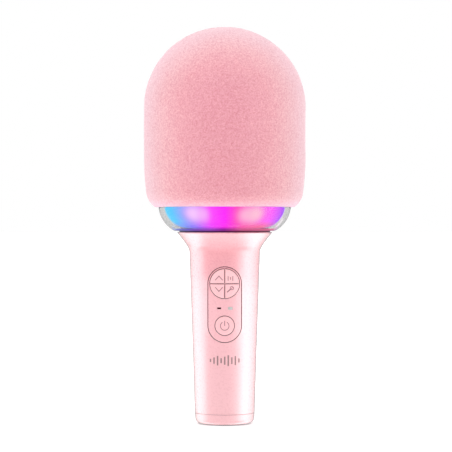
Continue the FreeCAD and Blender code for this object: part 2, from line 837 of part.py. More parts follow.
DRIVER_SECTIONS = {
    "speaker_top_plate": rect(7.0, 134.5, 14.0, 136.5),
    "speaker_magnet": rect(8.6, 128.5, dims.magnet_rad, 134.45),
    "speaker_yoke": [
        (0, 126.0), (13.6, 126.0), (13.6, 128.45), (5.5, 128.45), (5.5, 136.4), (0, 136.4),
    ],
    "voice_coil": rect(6.0, 130.6, dims.coil_rad, 139.6),
    "speaker_cone": [
        (dims.coil_rad + 0.05, 139.2),
        (dims.coil_rad + 0.5, 139.0),
        (17.5, 145.75),
        (dims.cone_rad, 145.75),
        (dims.cone_rad, 146.2),
        (17.2, 146.2),
        (dims.coil_rad + 0.05, 139.75),
    ],
    "dust_cap": [
        (0, DUST_CENTRE_Z + DUST_INNER),
        (
            DUST_INNER_EDGE,
            DUST_CENTRE_Z + math.sqrt(DUST_INNER**2 - DUST_INNER_EDGE**2),
            DUST_INNER,
            CW,
        ),
        (DUST_EDGE, DUST_CENTRE_Z + math.sqrt(DUST_RAD**2 - DUST_EDGE**2)),
        (0, DUST_CENTRE_Z + DUST_RAD, DUST_RAD, CCW),
    ],
    "speaker_surround": [
        (17.4, 146.25), (18.5, 146.25), (18.9, 146.7), (20.2, 147.65, 1.15, CW),
        (21.5, 147.65), (21.5, 148.0), (20.4, 148.0), (18.45, 146.65, 1.75, CCW),
        (17.4, 146.6),
    ],
    "speaker_spider": [
        (6.6, 138.1), (8.2, 138.1), (8.8, 137.75), (9.6, 138.35),
        (10.4, 137.75), (11.2, 138.35), (12.0, 137.85), (13.3, 137.85),
        (13.3, 138.15), (12.1, 138.15), (11.2, 138.7), (10.4, 138.1),
        (9.6, 138.7), (8.8, 138.1), (8.3, 138.4), (6.6, 138.4),
    ],
}


def make_speaker_frame():
    frame = revolve("frame", FRAME_SECTION)
    pocket_ring(
        frame, "frame_window", 4, 30, loops=[FRAME_WINDOW], plane="XZ_Plane", along=False
    )
    pocket_ring(frame, "frame_hole", 4, 3, rounds=SPEAKER_CLEAR, offset=146)
    node(frame, "speaker_frame")


def make_speaker_gasket():
    top = dims.cup_top_z
    gasket = revolve("gasket", rect(21.5, top + 0.03, dims.frame_rad, top + 0.32))
    pocket_ring(gasket, "gasket_hole", 4, 3, rounds=SPEAKER_CLEAR, offset=top - 1)
    node(gasket, "speaker_gasket")


def make_speaker_screws():
    z = FRAME_TOP_Z + SCREW_LIFT
    signs = (-1, 1)
    screws(
        "speaker",
        [place(sx * SPEAKER_SCREW, sy * SPEAKER_SCREW, z) for sx in signs for sy in signs],
    )


# ---------------------------------------------------------------- capsule and its bridge

BRIDGE_FOOT_Z, BRIDGE_FOOT_TOP_Z = 131.6, 133.6
BRIDGE_SECTION = [
    (28.6, BRIDGE_FOOT_Z), (34.6, BRIDGE_FOOT_Z), (34.6, BRIDGE_FOOT_TOP_Z),
    (31.0, BRIDGE_FOOT_TOP_Z), (30.6, 134.2), (30.6, 196.0), (12.6, 213.4),
    (12.6, 217.4), (10.2, 217.4), (10.2, 212.4), (28.6, 194.8),
]
LEG_W = 9.0

CAPSULE_SECTIONS = {
    "capsule_mount": [
        (dims.capsule_rad + 0.05, 212.6), (10.15, 212.6), (10.15, 217.45),
        (11.4, 217.45), (11.4, 218.4), (dims.capsule_rad + 0.05, 218.4),
    ],
    "microphone_capsule": [
        (0, 212.2),
        (dims.capsule_rad - 0.4, 212.2),
        (dims.capsule_rad, 212.6),
        (dims.capsule_rad, 219.4),
        (dims.capsule_rad - 0.3, 219.8),
        (3.4, 219.8),
        (3.4, 219.4),
        (0, 219.4),
    ],
    "pop_foam_disc": [(0, 220.1), (13.6, 220.1), (13.6, 221.7), (11.0, 222.9), (0, 222.9)],
}


def make_bridge():
    """A turned shell, cut down to three legs and a ring at the top."""
    shell = turned("bridge_shell", BRIDGE_SECTION)
    legs = [
        swung_box("leg_%d" % k, (0, -LEG_W / 2, 130), (40, LEG_W, 90), angle)
        for k, angle in enumerate(BRIDGE_ANGLES)
    ]
    crown = cyl("crown", 0, 0, 209.0, 14.6, 12)
    raw = common("bridge_raw", shell, fuse("legs_and_crown", *legs, crown))
    drills = [
        cyl("bridge_drill_%d" % k, *polar_point(BRIDGE_SCREW_RAD, angle, 130), 1.15, 6)
        for k, angle in enumerate(BRIDGE_ANGLES)
    ]
    node(cut("bridge", raw, fuse("bridge_drills", *drills)), "capsule_bridge")
    z = BRIDGE_FOOT_TOP_Z + SCREW_LIFT
    screws("bridge", [place(*polar_point(BRIDGE_SCREW_RAD, a, z)) for a in BRIDGE_ANGLES])


# ---------------------------------------------------------------- handle barrel

slope = (dims.neck_rad - dims.foot_rad) / (dims.neck_z - dims.seam_z)


def grip(z):
    """Outer radius of the tapered grip at height z."""
    return dims.foot_rad + slope * (dim(z) - dims.seam_z)


def skin(name, near, far, z_low=40, z_high=103):
    """The solid between two surfaces that follow the grip, near and far below its surface."""
    return turned(
        name,
        [
            (grip(z_low) - far, z_low),
            (grip(z_low) - near, z_low),
            (grip(z_high) - near, z_high),
            (grip(z_high) - far, z_high),
        ],
    )


def make_barrel():
    seat_z = dims.bowl_low_z - 0.03
    neck_inner = dims.neck_rad - dims.wall
    cable_rad = 7.0
    barrel = revolve(
        "barrel",
        [
            (dims.foot_rad - dims.wall, dims.seam_z),
            (dims.foot_rad - 0.1, dims.seam_z),
            (dims.foot_rad, dims.seam_z + 0.1),
            (dims.neck_rad, dims.neck_z),
            (dims.neck_rad + 1.30, dims.neck_z + 4.10, 7.75, CW),
            (dims.flare_rad - 0.15, dims.flare_z - 0.75, 77.0, CW),
            (dims.flare_rad - 0.7, dims.flare_z, 0.62, CCW),
            (dims.seat_rad, dims.flare_z),
            (dims.seat_rad, seat_z),
            (cable_rad, seat_z),
            (cable_rad, plate_low),
            (23.9, plate_low),
            (neck_inner + 0.12, dims.neck_z + 3.05),
            (neck_inner, dims.neck_z),
        ],
    )
    # bosses for the head screws
    stack = (0, dims.stack_rad)
    boss = pad(barrel, "barrel_boss", 106.2, plate_low + 0.5, [(*stack, 3.0)])
    pilot = pocket(barrel, "barrel_pilot", 10, rounds=[(*stack, 1.3)], offset=107.0)
    polar(barrel, [boss, pilot], 3, "barrel_bosses")
    # chassis screws pass through the top plate
    clear = [(x, y, 1.3) for x, y in CHASSIS_SCREWS]
    seats = [(x, y, 2.35) for x, y in CHASSIS_SCREWS]
    pocket(barrel, "chassis_screw_clear", 6, rounds=clear, offset=plate_low - 1)
    seat_low = dims.bowl_low_z - CHASSIS_SEAT_DEPTH
    pocket(barrel, "chassis_screw_seat", 3, rounds=seats, offset=seat_low)
    opening = pill(dims.power_z, dims.keys_z, dims.panel_rad)
    pocket(barrel, "panel_opening", 30, loops=[opening], plane="XZ_Plane")
    node(barrel, "handle_barrel")


# ---------------------------------------------------------------- control panel


def panel_pill(name, radius):
    return prism(name, pill(dims.power_z, dims.keys_z, radius))


def make_panel():
    seen_rad = dims.panel_rad - dims.panel_gap
    top = common(
        "panel_top",
        skin("panel_top_skin", 0.0, dims.panel_t),
        panel_pill("panel_top_prism", seen_rad),
    )
    back = common(
        "panel_back",
        skin("panel_back_skin", dims.wall + 0.05, dims.panel_t),
        panel_pill("panel_back_prism", dims.flange_rad),
    )
    solid = fuse("panel_solid", top, back)
    windows = [
        prism(
            "window_%s_opening" % name,
            rect_about(dims.lamp_x * side, dims.lamp_z, half_w, half_h),
        )
        for name, (side, half_w, half_h) in WINDOWS.items()
    ]
    cutters = fuse(
        "panel_cutters",
        front_disc("keys_opening", dims.keys_z, dims.keys_rad),
        front_disc("power_opening", dims.power_z, dims.power_rad),
        *windows,
    )
    # a cross of sunken ribs that parts the four keys
    half, reach = dims.rib_w / 2, dims.keys_rad + 0.2
    cross = fuse(
        "panel_rib_cross",
        prism("panel_rib_upright", rect_about(0, dims.keys_z, half, reach)),
        prism("panel_rib_level", rect_about(0, dims.keys_z, reach, half)),
    )
    ribs_skin = skin("panel_ribs_skin", dims.rib_sink, dims.panel_t - 0.1)
    ribs = common("panel_ribs", ribs_skin, cross)
    node(fuse("panel_whole", cut("panel", solid, cutters), ribs), "control_panel")


# ---------------------------------------------------------------- keys

KEY_EDGE_RAD = 0.3
KEY_FOOT_RAD = 1.4

# key on the left (-X), its mirror image on the right, 1 above or -1 below the centre
KEY_PAIRS = [("key_up", "key_mode", 1), ("key_down", "key_voice", -1)]


def left_quadrant(radius, gap, up):
    """The left upper or lower quarter of the key circle, set back from both centre lines."""
    half = gap / 2
    reach = root(radius * radius - half * half)
    z = dims.keys_z
    if up > 0:
        return [(-half, z + half), (-half, z + reach), (-reach, z + half, radius, CCW)]
    return [(-half, z - half), (-reach, z - half), (-half, z - reach, radius, CCW)]


def on_key_front(edge):
    """True for an edge that lies wholly on the keys' outer surface."""
    for share in (0.02, 0.5, 0.98):
        span = edge.LastParameter - edge.FirstParameter
        spot = edge.valueAt(edge.FirstParameter + share * span)
        surface = grip(spot.z).value + dims.key_proud.value
        if abs(math.hypot(spot.x, spot.y) - surface) > 0.02:
            return False
    return True


def rounded(obj, name):
    """Fillets the front edges of a key; the sharp key is kept if the fillet is not sound."""
    doc.recompute()
    edges = enumerate(obj.Shape.Edges, start=1)
    picked = [number for number, edge in edges if on_key_front(edge)]
    fillet = doc.addObject("Part::Fillet", name)
    fillet.Base = obj
    fillet.Edges = [(number, KEY_EDGE_RAD, KEY_EDGE_RAD) for number in picked]
    doc.recompute()
    shape = fillet.Shape
    sound = picked and "Invalid" not in fillet.State and not shape.isNull() and shape.isValid()
    if sound and 0.9 < shape.Volume / obj.Shape.Volume < 1.0:
        return fillet
    doc.removeObject(fillet.Name)
    return obj


def key(name, front_tool, flange_tool, press, foot_len, z_range=(40, 103)):
    """A key: the part seen in the panel, a hidden flange and a foot on the plunger."""
    depth = dims.panel_t
    top_skin = skin(name + "_top_skin", -dims.key_proud, depth + 0.3, *z_range)
    top = common(name + "_top", top_skin, front_tool)
    back_skin = skin(name + "_back_skin", depth + 0.1, depth + 0.85, *z_range)
    back = common(name + "_back", back_skin, flange_tool)
    x, z = press
    foot = cyl(name + "_foot", x, -dims.press_y, z, KEY_FOOT_RAD, foot_len, "-y")
    return fuse(name + "_whole", rounded(top, name + "_edge"), back, foot)


def make_quarter_keys():
    key_rad = dims.keys_rad - dims.key_gap
    flange_rad = dims.keys_rad + dims.key_flange
    for name, opposite, up in KEY_PAIRS:
        front = prism(name + "_top_prism", left_quadrant(key_rad, dims.cross_gap, up))
        flange_loop = left_quadrant(flange_rad, dims.cross_gap * 0.6, up)
        flange = prism(name + "_back_prism", flange_loop)
        whole = key(name, front, flange, PRESS[name], foot_len=2.4)
        node(whole, name)
        mirrored = doc.addObject("Part::Mirroring", name + "_mirrored")
        mirrored.Source = whole
        mirrored.Normal = Vector(1, 0, 0)
        node(mirrored, opposite)


def make_power_key():
    front = front_disc("power_top_disc", dims.power_z, dims.power_rad - dims.key_gap)
    flange = front_disc("power_back_disc", dims.power_z, dims.power_rad + 0.8)
    whole = key("power", front, flange, PRESS["power_key"], foot_len=1.6, z_range=(48, 70))
    node(whole, "power_key")


def make_indicator_windows():
    fit, collar_reach = 0.07, 0.6
    lens_skin = skin("lens_skin", 0.06, 7.0, 60, 80)
    for name, (side, opening_w, opening_h) in WINDOWS.items():
        label = "indicator_window_" + name
        x = dims.lamp_x * side
        half_w, half_h = opening_w - fit, opening_h - fit
        shaft_loop = rect_about(x, dims.lamp_z, half_w, half_h)
        shaft = prism(label + "_shaft", shaft_loop, TOOL_FRONT, -12.0)
        collar_loop = rect_about(x, dims.lamp_z, half_w + collar_reach, half_h + collar_reach)
        collar = prism(label + "_collar", collar_loop, -15.2, -14.4)
        lens = common(label + "_lens", shaft, lens_skin)
        node(fuse(label + "_whole", lens, collar), label)


# ---------------------------------------------------------------- main board with its parts

BOARD_GAP = 0.02  # between the board and a part mounted on it

# name, left x, low z, width, thickness off the board, height
CHIPS = [
    ("amp_chip", -3.0, 21.2, 6.0, 1.3, 6.0),
    ("charge_chip", 4.6, 17.2, 3.0, 1.0, 3.0),
    ("coil_block", -7.6, 16.2, 4.6, 2.4, 4.6),
    ("codec_chip", -2.6, 50.4, 5.2, 1.0, 3.2),
]
# name, x, z, radius, length off the board
CAPACITORS = [("cap_a", 6.7, 23.2, 1.9, 3.2), ("cap_b", -6.6, 23.6, 1.6, 3.0)]


def on_board(name, x0, z0, width, thickness, height):
    """A block on the front of the main board."""
    y0 = board_front - thickness - BOARD_GAP
    return box(name, x0, y0, z0, width, thickness, height)


def make_main_board():
    height = dims.board_top_z - dims.board_low_z
    plate = box(
        "board_plate",
        -dims.board_w / 2, board_front, dims.board_low_z,
        dims.board_w, dims.board_t, height,
    )
    holes = [
        cyl("board_hole_%d" % k, x, board_front - 1, z, 1.1, 4, "y")
        for k, (x, z) in enumerate(BOARD_SCREWS)
    ]
    node(cut("board", plate, fuse("board_holes", *holes)), "main_board")


def make_switches():
    """A switch behind each key, and the plunger between them."""
    switches = []
    width, height = dims.switch_w, dims.switch_h
    plunger_len = dims.press_y - dims.board_y - height + 0.9
    for name, (x, z) in PRESS.items():
        corner = (x - width / 2, z - width / 2)
        block = on_board(name + "_switch_block", *corner, width, height, width)
        hole = cyl(name + "_switch_hole", x, board_front - height - 1, z, 1.35, 3.6, "y")
        switches.append(cut(name + "_switch", block, hole))
        plunger = cyl(name + "_pusher", x, -dims.press_y + 0.02, z, 1.25, plunger_len, "y")
        node(plunger, name + "_plunger")
    node(group("switches_group", *switches), "key_switches")


def make_wireless_module():
    module = fuse(
        "module",
        on_board("module_base", -6.5, 30.6, 13, 0.8, 17.0),
        box("module_can", -5.9, board_front - 2.8, 31.2, 11.8, 2.1, 12.0),
    )
    node(module, "wireless_module")


def make_board_components():
    parts = [on_board(*chip) for chip in CHIPS]
    for name, x, z, radius, length in CAPACITORS:
        parts.append(cyl(name, x, board_front - BOARD_GAP, z, radius, length, "-y"))
    led_w, led_t, led_h = 1.6, 0.8, 0.9
    for name, side in (("indicator_led_a", -1), ("indicator_led_b", 1)):
        corner = (dims.lamp_x * side - led_w / 2, dims.lamp_z - led_h / 2)
        parts.append(on_board(name, *corner, led_w, led_t, led_h))
    # sockets for the leads, open at the top
    for k, x in enumerate(PLUG_XS):
        shell = on_board("plug_shell_%d" % k, x - 2.5, 95.4, 5.0, 3.6, 4.2)
        slot = box("plug_slot_%d" % k, x - 2.0, board_front - 3.12, 97.2, 4.0, 2.6, 4.0)
        parts.append(cut("plug_%d" % k, shell, slot))
    node(group("chips_group", *parts), "board_components")


def make_board_screws():
    y = board_front - SCREW_LIFT
    screws("board", [place(x, y, z, HEAD_TO_FRONT) for x, z in BOARD_SCREWS])


# ---------------------------------------------------------------- chassis

TOP_SHELF_Z = 102.6
# name, low z, depth towards +Y, thickness
SHELVES = [
    ("disc_low", 15.6, 40, 2.4),
    ("disc_mid_a", 40.0, 14.5, 2.0),
    ("disc_mid_b", 64.0, 14.5, 2.0),
    ("disc_up", 86.4, 17.0, 2.0),
    ("disc_top", TOP_SHELF_Z, 40, 2.4),
]


def chassis_room():
    """The space inside barrel and cap that the chassis may fill."""
    inset = dims.wall + dims.rail_fit
    cavity = turned(
        "cavity",
        [
            (0, 4.6),
            (13.9, 4.6),
            (13.9, 11.4),
            (grip(11.4) - inset, 11.4),
            (grip(101.5) - inset, 101.5),
            (grip(101.5) - inset, chassis_top),
            (0, chassis_top),
        ],
    )
    return fuse("chassis_room", cavity, box("pad_room", -11, -9.5, 20, 22, 2, 80))


def chassis_parts():
    parts = [box("rail_plate", -13.2, rail_front, 19.0, 26.4, dims.rail_t, 86.0)]
    for name, z, depth, thickness in SHELVES:
        parts.append(box(name, -20, rail_front, z, 40, depth, thickness))
    for k, (x, y) in enumerate(CHASSIS_SCREWS):
        parts.append(cyl("post_%d" % k, x, y, TOP_SHELF_Z, 2.9, chassis_top - TOP_SHELF_Z))
    for k, (x, y) in enumerate(CAP_SCREWS):
        parts.append(cyl("cap_post_%d" % k, x, y, 4.5, 2.5, 12.0))
    pad_y = board_front + dims.board_t + 0.03
    pad_len = dims.board_y - dims.board_t - dims.rail_y + 0.5
    for k, (x, z) in enumerate(BOARD_SCREWS):
        parts.append(cyl("board_pad_%d" % k, x, pad_y, z, 2.1, pad_len, "y"))
    for k, (x, _) in enumerate(CAP_SCREWS):
        tail = (x - 1.6, rail_front, 16.5)
        parts.append(box("tail_%d" % k, *tail, 3.2, dims.rail_t + 3.5, 3.0))
    return fuse("chassis_parts", *parts)


def chassis_cuts():
    cuts = [
        cyl("cell_room", 0, dims.cell_y, 18.05, dims.cell_rad + 0.45, 66.6),
        cyl("lead_room", 0, -1.5, 80, 6.6, 22.0),
        box("lead_window", -5.5, -10, 89.5, 11, 6, 8.0),
        cyl("top_room", 0, 0, 100, 8.8, 6),
        box("top_front_room", -8.8, -12, 100, 17.6, 12.0, 6),
        box("usb_slot", -7.2, 1.55, 14, 14.4, 1.4, 6),
    ]
    for k, (x, y) in enumerate(CHASSIS_SCREWS):
        cuts.append(cyl("post_drill_%d" % k, x, y, 105.4, 1.05, 9.0))
    for k, (x, y) in enumerate(CAP_SCREWS):
        cuts.append(cyl("foot_drill_%d" % k, x, y, 4.0, 1.0, 9.0))
    for k, (x, z) in enumerate(BOARD_SCREWS):
        cuts.append(cyl("pad_drill_%d" % k, x, -9.6, z, 0.95, 2.6, "y"))
    return fuse("chassis_cuts", *cuts)


def make_chassis():
    raw = common("chassis_raw", chassis_parts(), chassis_room())
    node(cut("chassis", raw, chassis_cuts()), "inner_chassis")
    z = dims.bowl_low_z - CHASSIS_SEAT_DEPTH + SCREW_LIFT
    screws("chassis", [place(x, y, z) for x, y in CHASSIS_SCREWS])


def make_head_screws():
    """Screws from the chamber's floor down into the barrel's bosses."""
    z = dims.cup_low_z + 2.0 + SCREW_LIFT
    screws("head", [place(*polar_point(dims.stack_rad, a, z)) for a in (90, 210, 330)])


# ---------------------------------------------------------------- battery


def make_battery():
    cell = new_body("cell")
    pad(cell, "cell_pad", dims.cell_low_z, cell_top, [(0, 0, dims.cell_rad)])
    bind(cell, "Placement.Base.y", dims.cell_y)
    node(cell, "battery_cell")
    # sleeve round the cell, drawn in over its upper end
    inner, outer, turn_in = dims.cell_rad + 0.03, dims.cell_rad + 0.25, dims.cell_rad - 1.6
    sleeve = revolve(
        "sleeve",
        [
            (inner, dims.cell_low_z),
            (outer, dims.cell_low_z),
            (outer, cell_top + 0.25),
            (turn_in, cell_top + 0.25),
            (turn_in, cell_top + 0.05),
            (inner, cell_top + 0.05),
        ],
    )
    bind(sleeve, "Placement.Base.y", dims.cell_y)
    node(sleeve, "battery_sleeve")


# ---------------------------------------------------------------- charging socket


def usb_ends(name, radius, z, height):
    """The two round ends of the socket's section."""
    return [
        cyl("%s_%d" % (name, k), side * USB_END_X, 0, z, radius, height)
        for k, side in enumerate((-1, 1))
    ]


def make_charging_socket():
    middle = prism(
        "usb_outer",
        rect(-USB_END_X, USB_LOW_Z, USB_END_X, USB_TOP_Z),
        -USB_SHELL_RAD,
        USB_SHELL_RAD,
    )
    ends = usb_ends("usb_end", USB_SHELL_RAD, USB_LOW_Z, USB_TOP_Z - USB_LOW_Z)
    void_top = 7.2
    void_middle = box(
        "usb_void_mid", -USB_END_X, -USB_VOID_RAD, 0, 2 * USB_END_X, 2 * USB_VOID_RAD, void_top
    )
    void = fuse("usb_void", void_middle, *usb_ends("usb_void_end", USB_VOID_RAD, 0, void_top))
    tongue = box("usb_tongue", -3.2, -0.35, 1.7, 6.4, 0.7, 6.0)
    shell = cut("usb_shell", fuse("usb_block", middle, *ends), void)
    node(fuse("usb_socket_whole", shell, tongue), "charging_socket")
    node(box("usb_board_plate", -7.0, 1.7, 3.0, 14.0, 1.0, 14.2), "charging_board")


# ---------------------------------------------------------------- bottom cap, seam gasket


def make_cap():
    spigot_rad, spigot_inner, spigot_top = 15.55, 14.2, 11.0
    cap = revolve(
        "cap",
        [
            (0, dims.dish_t),
            (dims.dish_rad - 0.4, dims.dish_t),
            (dims.dish_rad, 0),
            (dims.base_rad, 0),
            (dims.cap_rad - 0.32, 3.0, dims.cap_arc, CCW),
            (dims.cap_rad, dims.cap_z - 0.1),
            (dims.cap_rad - 0.1, dims.cap_z),
            (spigot_rad, dims.cap_z),
            (spigot_rad, spigot_top),
            (spigot_inner, spigot_top),
            (spigot_inner, dims.cap_floor),
            (0, dims.cap_floor),
        ],
    )
    bosses, clear, seats = [[(x, y, r) for x, y in CAP_SCREWS] for r in (3.6, 1.25, 2.3)]
    pad(cap, "cap_boss", dims.cap_floor - 0.5, 4.4, bosses)
    pocket(cap, "cap_screw_clear", 6, rounds=clear)
    pocket(cap, "cap_screw_seat", CAP_SEAT, rounds=seats)
    end, r = USB_END_X, USB_OPENING_RAD
    opening = [
        (end, -r),
        (end + r, 0, r, CCW),
        (end, r, r, CCW),
        (-end, r),
        (-end - r, 0, r, CCW),
        (-end, -r, r, CCW),
    ]
    pocket(cap, "usb_opening", 6, loops=[opening], offset=-1)
    node(cap, "bottom_cap")
    screws("cap", [place(x, y, CAP_SEAT - SCREW_LIFT, HEAD_DOWN) for x, y in CAP_SCREWS])


SEAM_SECTION = rect(
    dims.seat_rad + 0.05, dims.flare_z + 0.03, 27.2, dims.bowl_low_z - 0.03
)

# ---------------------------------------------------------------- leads

PLUG_Y, PLUG_Z = -12.5, 98.0  # where a lead ends in its socket on the main board


def wire_shape(points, radius, bend):
    """A round lead through the given points, with rounded bends between straight runs."""
    corners = [Vector(*point) for point in points]
    edges, here = [], corners[0]
    for before, corner, after in zip(corners, corners[1:], corners[2:]):
        incoming = (corner - before).normalize()
        outgoing = (after - corner).normalize()
        angle = incoming.getAngle(outgoing)
        if angle < 0.02:
            continue
        room = 0.48 * min((corner - before).Length, (after - corner).Length)
        back = min(bend * math.tan(angle / 2), room)
        bend_rad = back / math.tan(angle / 2)
        if bend_rad < radius * 1.25:
            raise SystemExit("a lead bends too tightly at %s: %.2f" % (corner, bend_rad))
        arc_start, arc_end = corner - incoming * back, corner + outgoing * back
        inward = (outgoing - incoming).normalize()
        centre = corner + inward * (bend_rad / math.cos(angle / 2))
        if (arc_start - here).Length > 1e-6:
            edges.append(Part.LineSegment(here, arc_start).toShape())
        edges.append(Part.Arc(arc_start, centre - inward * bend_rad, arc_end).toShape())
        here = arc_end
    edges.append(Part.LineSegment(here, corners[-1]).toShape())
    start = (corners[1] - corners[0]).normalize()
    ring = Part.Face(Part.Wire([Part.Circle(corners[0], start, radius).toShape()]))
    return Part.Wire(edges).makePipe(ring)


def lead(name, label, shapes):
    feature = doc.addObject("Part::Feature", name)
    feature.Shape = Part.makeCompound(shapes) if len(shapes) > 1 else shapes[0]
    node(feature, label)


def speaker_lead(side):
    """From the speaker down through the cable holes to the middle socket."""
    angle = 270 + side * 14
    x = side * 0.7 - 0.2
    points = [
        polar_point(18.4, angle, 135.4),
        polar_point(18.4, angle, 124.4),
        (x, -1.85, 124.4),
        (x, -1.85, 112.2),
        (side * 0.9, PLUG_Y, 104.4),
        (side * 0.9, PLUG_Y, PLUG_Z),
    ]
    return wire_shape(points, radius=0.5, bend=2.2)


# from the capsule down one leg of the bridge, through the chamber to the right socket
CAPSULE_CABLE = [
    polar_point(2.6, 30, 212.0),
    polar_point(2.6, 30, 207.6),
    polar_point(12.6, 30, 205.6),
    polar_point(26.75, 30, 190.0),
    polar_point(26.75, 30, 138.0),
    polar_point(19.4, 30, 138.0),
    polar_point(19.4, 30, 124.5),
    (1.7, 0.9, 124.5),
    (1.7, 0.9, 112.4),
    (PLUG_XS[2], PLUG_Y, 104.0),
    (PLUG_XS[2], PLUG_Y, PLUG_Z),
]

# from the lamp strip through the chamber to the left socket
LAMP_LEAD = [
    polar_point(25.5, 150, 121.9),
    polar_point(19.0, 150, 121.9),
    polar_point(14.0, 150, 123.8),
    (-1.7, 1.2, 123.8),
    (-1.7, 1.2, 112.6),
    (PLUG_XS[0], PLUG_Y, 104.2),
    (PLUG_XS[0], PLUG_Y, PLUG_Z),
]

BOARD_BACK_Y = -9.25  # where the power leads end, behind the main board


def cell_lead(x):
    points = [(x, 2.5, 83.7), (x, 2.5, 88.0), (x, -3.0, 93.4), (x, BOARD_BACK_Y, 93.4)]
    return wire_shape(points, radius=0.6, bend=2.0)


def charging_lead(x):
    points = [(x, 1.62, 14.4), (x, BOARD_BACK_Y, 14.4)]
    return wire_shape(points, radius=0.5, bend=2.0)


def make_leads():
    lead("speaker_lead_pair", "speaker_leads", [speaker_lead(side) for side in (-1, 1)])
    cable = wire_shape(CAPSULE_CABLE, radius=0.9, bend=1.5)
    lead("capsule_cable_run", "capsule_cable", [cable])
    lead("lamp_lead_run", "lamp_lead", [wire_shape(LAMP_LEAD, radius=0.6, bend=2.0)])
    power = [cell_lead(x) for x in (-1.6, 1.6)] + [charging_lead(x) for x in (-2.2, 2.2)]
    lead("power_lead_runs", "power_leads", power)


# ---------------------------------------------------------------- build, check and write


def build():
    make_foam()
    make_cage()
    make_liner()
    make_grille_screws()
    make_bowl()
    make_diffuser()
    make_chamber()
    turned_nodes({"cable_grommet": GROMMET_SECTION, "lamp_strip": STRIP_SECTION})
    make_lamps()
    make_speaker_frame()
    make_speaker_gasket()
    make_speaker_screws()
    turned_nodes(DRIVER_SECTIONS)
    make_bridge()
    turned_nodes(CAPSULE_SECTIONS)
    make_barrel()
    make_panel()
    make_quarter_keys()
    make_power_key()
    make_indicator_windows()
    make_main_board()
    make_switches()
    make_wireless_module()
    make_board_components()
    make_board_screws()
    make_chassis()
    make_head_screws()
    make_battery()
    make_charging_socket()
    make_cap()
    turned_nodes({"seam_gasket": SEAM_SECTION})
    make_leads()


def export():
    os.makedirs("parts", exist_ok=True)
    for name in os.listdir("parts"):
        if name.endswith(".step"):
            os.remove(os.path.join("parts", name))
    for label, obj in NODES:
        shape = obj.Shape
        if shape.isNull() or not shape.isValid() or not shape.Solids:
            raise SystemExit("sub-part %s has no sound solid" % label)
        shape.exportStep("parts/%s.step" % label)


build()
doc.recompute()
failed = [o.Name for o in doc.Objects if "Invalid" in o.State or "Error" in o.State]
if failed:
    raise SystemExit("objects that failed: %s" % failed)
export()
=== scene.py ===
"""Looks of a wireless karaoke microphone in a bright studio.

A pink foam head sits over a clear lit bowl and a glossy pink handle with printed symbols.
Metres. The microphone stands on z = 0 round the z axis; the keys and the camera are on the
front, at -y, and +x is to the right.
"""

import math

import bmesh
import bpy
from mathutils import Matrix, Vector, noise
from mathutils.bvhtree import BVHTree

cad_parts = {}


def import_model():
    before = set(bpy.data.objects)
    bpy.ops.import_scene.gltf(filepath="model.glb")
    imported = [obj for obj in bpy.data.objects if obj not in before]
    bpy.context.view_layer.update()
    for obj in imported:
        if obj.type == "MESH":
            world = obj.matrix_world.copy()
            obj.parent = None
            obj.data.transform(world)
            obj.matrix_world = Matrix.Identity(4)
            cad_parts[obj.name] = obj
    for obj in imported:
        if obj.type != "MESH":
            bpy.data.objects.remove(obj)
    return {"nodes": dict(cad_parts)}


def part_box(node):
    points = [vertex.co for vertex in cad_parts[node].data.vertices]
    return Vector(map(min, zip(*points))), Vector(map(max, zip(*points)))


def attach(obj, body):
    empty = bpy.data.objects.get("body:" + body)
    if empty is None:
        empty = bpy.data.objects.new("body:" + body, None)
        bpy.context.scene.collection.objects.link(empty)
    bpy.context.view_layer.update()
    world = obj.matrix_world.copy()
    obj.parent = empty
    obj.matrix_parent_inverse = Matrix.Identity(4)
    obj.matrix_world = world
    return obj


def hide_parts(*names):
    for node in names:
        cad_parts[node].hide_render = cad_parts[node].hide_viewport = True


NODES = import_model()["nodes"]
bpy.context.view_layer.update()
MM = 0.001
scene = bpy.context.scene

# ------------------------------------------------------------------ node graphs

MIDBAND = (0.3, 0.7)  # where most of a noise's values lie


def srgb(r, g, b):
    """Linear RGBA from sRGB 0-255."""
    out = []
    for v in (r, g, b):
        v /= 255.0
        out.append(v / 12.92 if v <= 0.04045 else ((v + 0.055) / 1.055) ** 2.4)
    return (*out, 1.0)


def scaled(colour, factor):
    return (*(min(channel * factor, 1.0) for channel in colour[:3]), 1.0)


